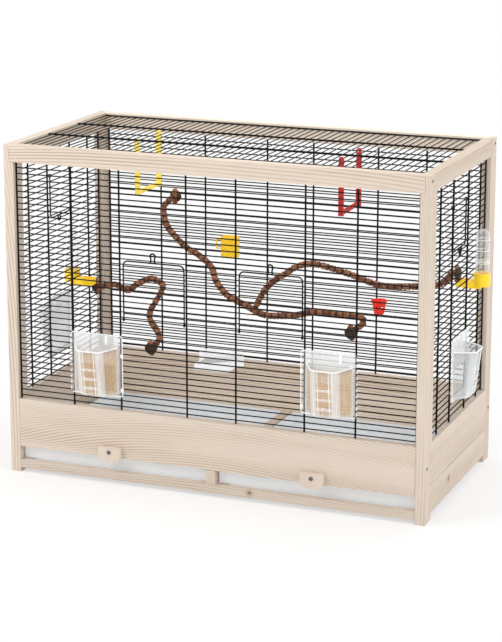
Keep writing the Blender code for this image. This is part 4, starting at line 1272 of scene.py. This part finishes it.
holderLook = {
    "edge": 0.0007,
    "width": 0.032,
    "height": 0.041,
    "barShares": (0.28, 0.50, 0.72),
    "frameInset": 0.0035,
    "barInset": 0.0045,
    "corner": 0.003,
    "proud": 0.0003,
    "trimRadius": 0.0008,
}


def makeTreatHolder():
    # The open box with its side loop, with a raised frame and bars on the front.
    node = "treat_holder_yellow"
    item = softened(node, node + "_box", holderLook["edge"])
    low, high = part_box(node)
    left, front = high.x - holderLook["width"], low.y - holderLook["proud"]
    inset, barInset = holderLook["frameInset"], holderLook["barInset"]
    routes = [roundedRoute(left + inset, high.x - inset, low.z + inset, high.z - inset, holderLook["corner"],
                           front)]
    for share in holderLook["barShares"]:
        level = low.z + holderLook["height"] * share
        routes.append([(left + barInset, front, level), (high.x - barInset, front, level)])
    item = joinPieces(node + "_moulding", [item, trimRods("trim", routes, holderLook["trimRadius"])])
    finishPiece(item, yellowMaterial, "cage_frame", [node])


ledgeLook = {
    "edge": 0.0005,
    "shelfHalf": 0.0350,
    "shelfDepths": (0.0008, 0.053),
    "shelfLevels": (0.0100, 0.0008),
    "plateDepth": 0.0545,
    "plateInset": 0.001,
    "corner": 0.003,
    "edgeRadius": 0.0011,
}


def makeLedge():
    # The clear upright plate and its shelf, with the pale thick edges, whose whiteness is a painted
    # highlight.
    node = "rear_ledge_tray"
    moulded(node, "shelf", ledgeLook["edge"], ledgeMaterial, "cage_frame")
    low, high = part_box(node)
    centre, half, inset = (low.x + high.x) / 2, ledgeLook["shelfHalf"], ledgeLook["plateInset"]
    front, back = (low.y + depth for depth in ledgeLook["shelfDepths"])
    plan = [(centre - half, back), (centre - half, front), (centre + half, front), (centre + half, back)]
    tray, foot = ([(x, y, low.z + level) for x, y in plan] for level in ledgeLook["shelfLevels"])
    plate = roundedRoute(low.x + inset, high.x - inset, low.z + inset, high.z - inset, ledgeLook["corner"],
                         low.y + ledgeLook["plateDepth"])
    routes = [tray, foot, plate, [tray[1], foot[1]], [tray[2], foot[2]]]
    finishPiece(trimRods(node + "_edges", routes, ledgeLook["edgeRadius"]), edgeMaterial, "cage_frame")


makeTreatCup()
makeTreatHolder()
makeLedge()
print("small parts ready")


# Studio

studio = {
    "fill": 0.60,
    "floorReach": 6.0,
    "shadowNear": 0.40,
    "shadowFar": 1.00,
    "whiteNear": 0.55,
    "aim": (0, 0, 0.3),
    "lights": {
        "key": ((-1.5, -1.5, 1.7), 1.6, 24),
        "fill": ((2.6, -1.0, 1.8), 1.8, 29),
        "top": ((0.2, 0.6, 2.6), 2.0, 20),
    },
}
photoView = {
    "place": (1.425, -3.580, 1.301),
    "yaw": -21.83,
    "pitch": -13.46,
    "focal": 2131.7,
    "centre": (247.8, 269.6),
    "frame": (502, 642),
}


def makeCamera():
    data = bpy.data.cameras.new("photoCamera")
    camera = addObject("photoCamera", data)
    width, height = photoView["frame"]
    data.sensor_width = 36
    data.lens = photoView["focal"] * data.sensor_width / height
    data.shift_x = (width / 2 - photoView["centre"][0]) / height
    data.shift_y = (photoView["centre"][1] - height / 2) / height
    data.clip_end = 50
    yaw, pitch = math.radians(photoView["yaw"]), math.radians(photoView["pitch"])
    ahead = Vector((math.sin(yaw) * math.cos(pitch), math.cos(yaw) * math.cos(pitch), math.sin(pitch)))
    camera.rotation_euler = ahead.to_track_quat("-Z", "Y").to_euler()
    camera.location = cagePoint(*photoView["place"])
    bpy.context.scene.camera = camera


def makeLights():
    for name, (place, size, power) in studio["lights"].items():
        data = bpy.data.lights.new(name, "AREA")
        data.shape = "DISK"
        data.size = size
        data.energy = power
        lamp = addObject(name, data)
        lamp.location = cagePoint(*place)
        lamp.rotation_euler = (cagePoint(*studio["aim"]) - lamp.location).to_track_quat("-Z", "Y").to_euler()


def seenDirectly(owner):
    # One for the camera's own rays and for those that mirrors and clear plastic pass on.
    rays = owner.add("ShaderNodeLightPath").socket.node.outputs
    seen = Link(owner, rays["Is Camera Ray"])
    for ray in ("Is Glossy Ray", "Is Transmission Ray"):
        seen = owner.maths("MAXIMUM", seen, Link(owner, rays[ray]))
    return seen


def mixSurface(owner, output, factor, first, second):
    mixed = owner.add("ShaderNodeMixShader", {0: factor, 1: first, 2: second})
    owner.feed(owner.tree.nodes[output].inputs["Surface"], mixed)


def makeWorld():
    world = bpy.data.worlds.new("studio")
    bpy.context.scene.world = world
    world.use_nodes = True
    owner = NodeTree(world.node_tree)
    fill = world.node_tree.nodes["Background"]
    owner.feed(fill.inputs["Color"], (1.0, 0.99, 0.975))
    owner.feed(fill.inputs["Strength"], studio["fill"])
    white = owner.add("ShaderNodeBackground", {"Color": (1, 1, 1)})
    mixSurface(owner, "World Output", seenDirectly(owner), Link(owner, fill.outputs[0]), white)


def makeFloor():
    # Pale near the cage, where its shadow falls, and plain white further out.
    reach = studio["floorReach"]
    corners = [(x, y, 0) for x, y in rectangle(-reach, reach, -reach, reach)]
    mesh = bpy.data.meshes.new("studio_floor")
    mesh.from_pydata(corners, [], [(0, 1, 2, 3)])
    paint = Paint("paleFloor", Roughness=0.9, Specular_IOR_Level=0.0, Base_Color=(0.96, 0.96, 0.96))
    away = paint.add("ShaderNodeVectorMath", {0: paint.objectPlace()}, 1, operation="LENGTH")
    share = away.ramp(studio["shadowNear"], studio["shadowFar"], studio["whiteNear"], 1.0)
    white = paint.add("ShaderNodeEmission")
    matt = Link(paint, paint.shader.outputs[0])
    mixSurface(paint, "Material Output", share * seenDirectly(paint), matt, white)
    mesh.materials.append(paint.material)
    addObject("studio_floor", mesh)


makeCamera()
makeWorld()
makeFloor()
makeLights()
bpy.context.scene.view_settings.view_transform = "Standard"
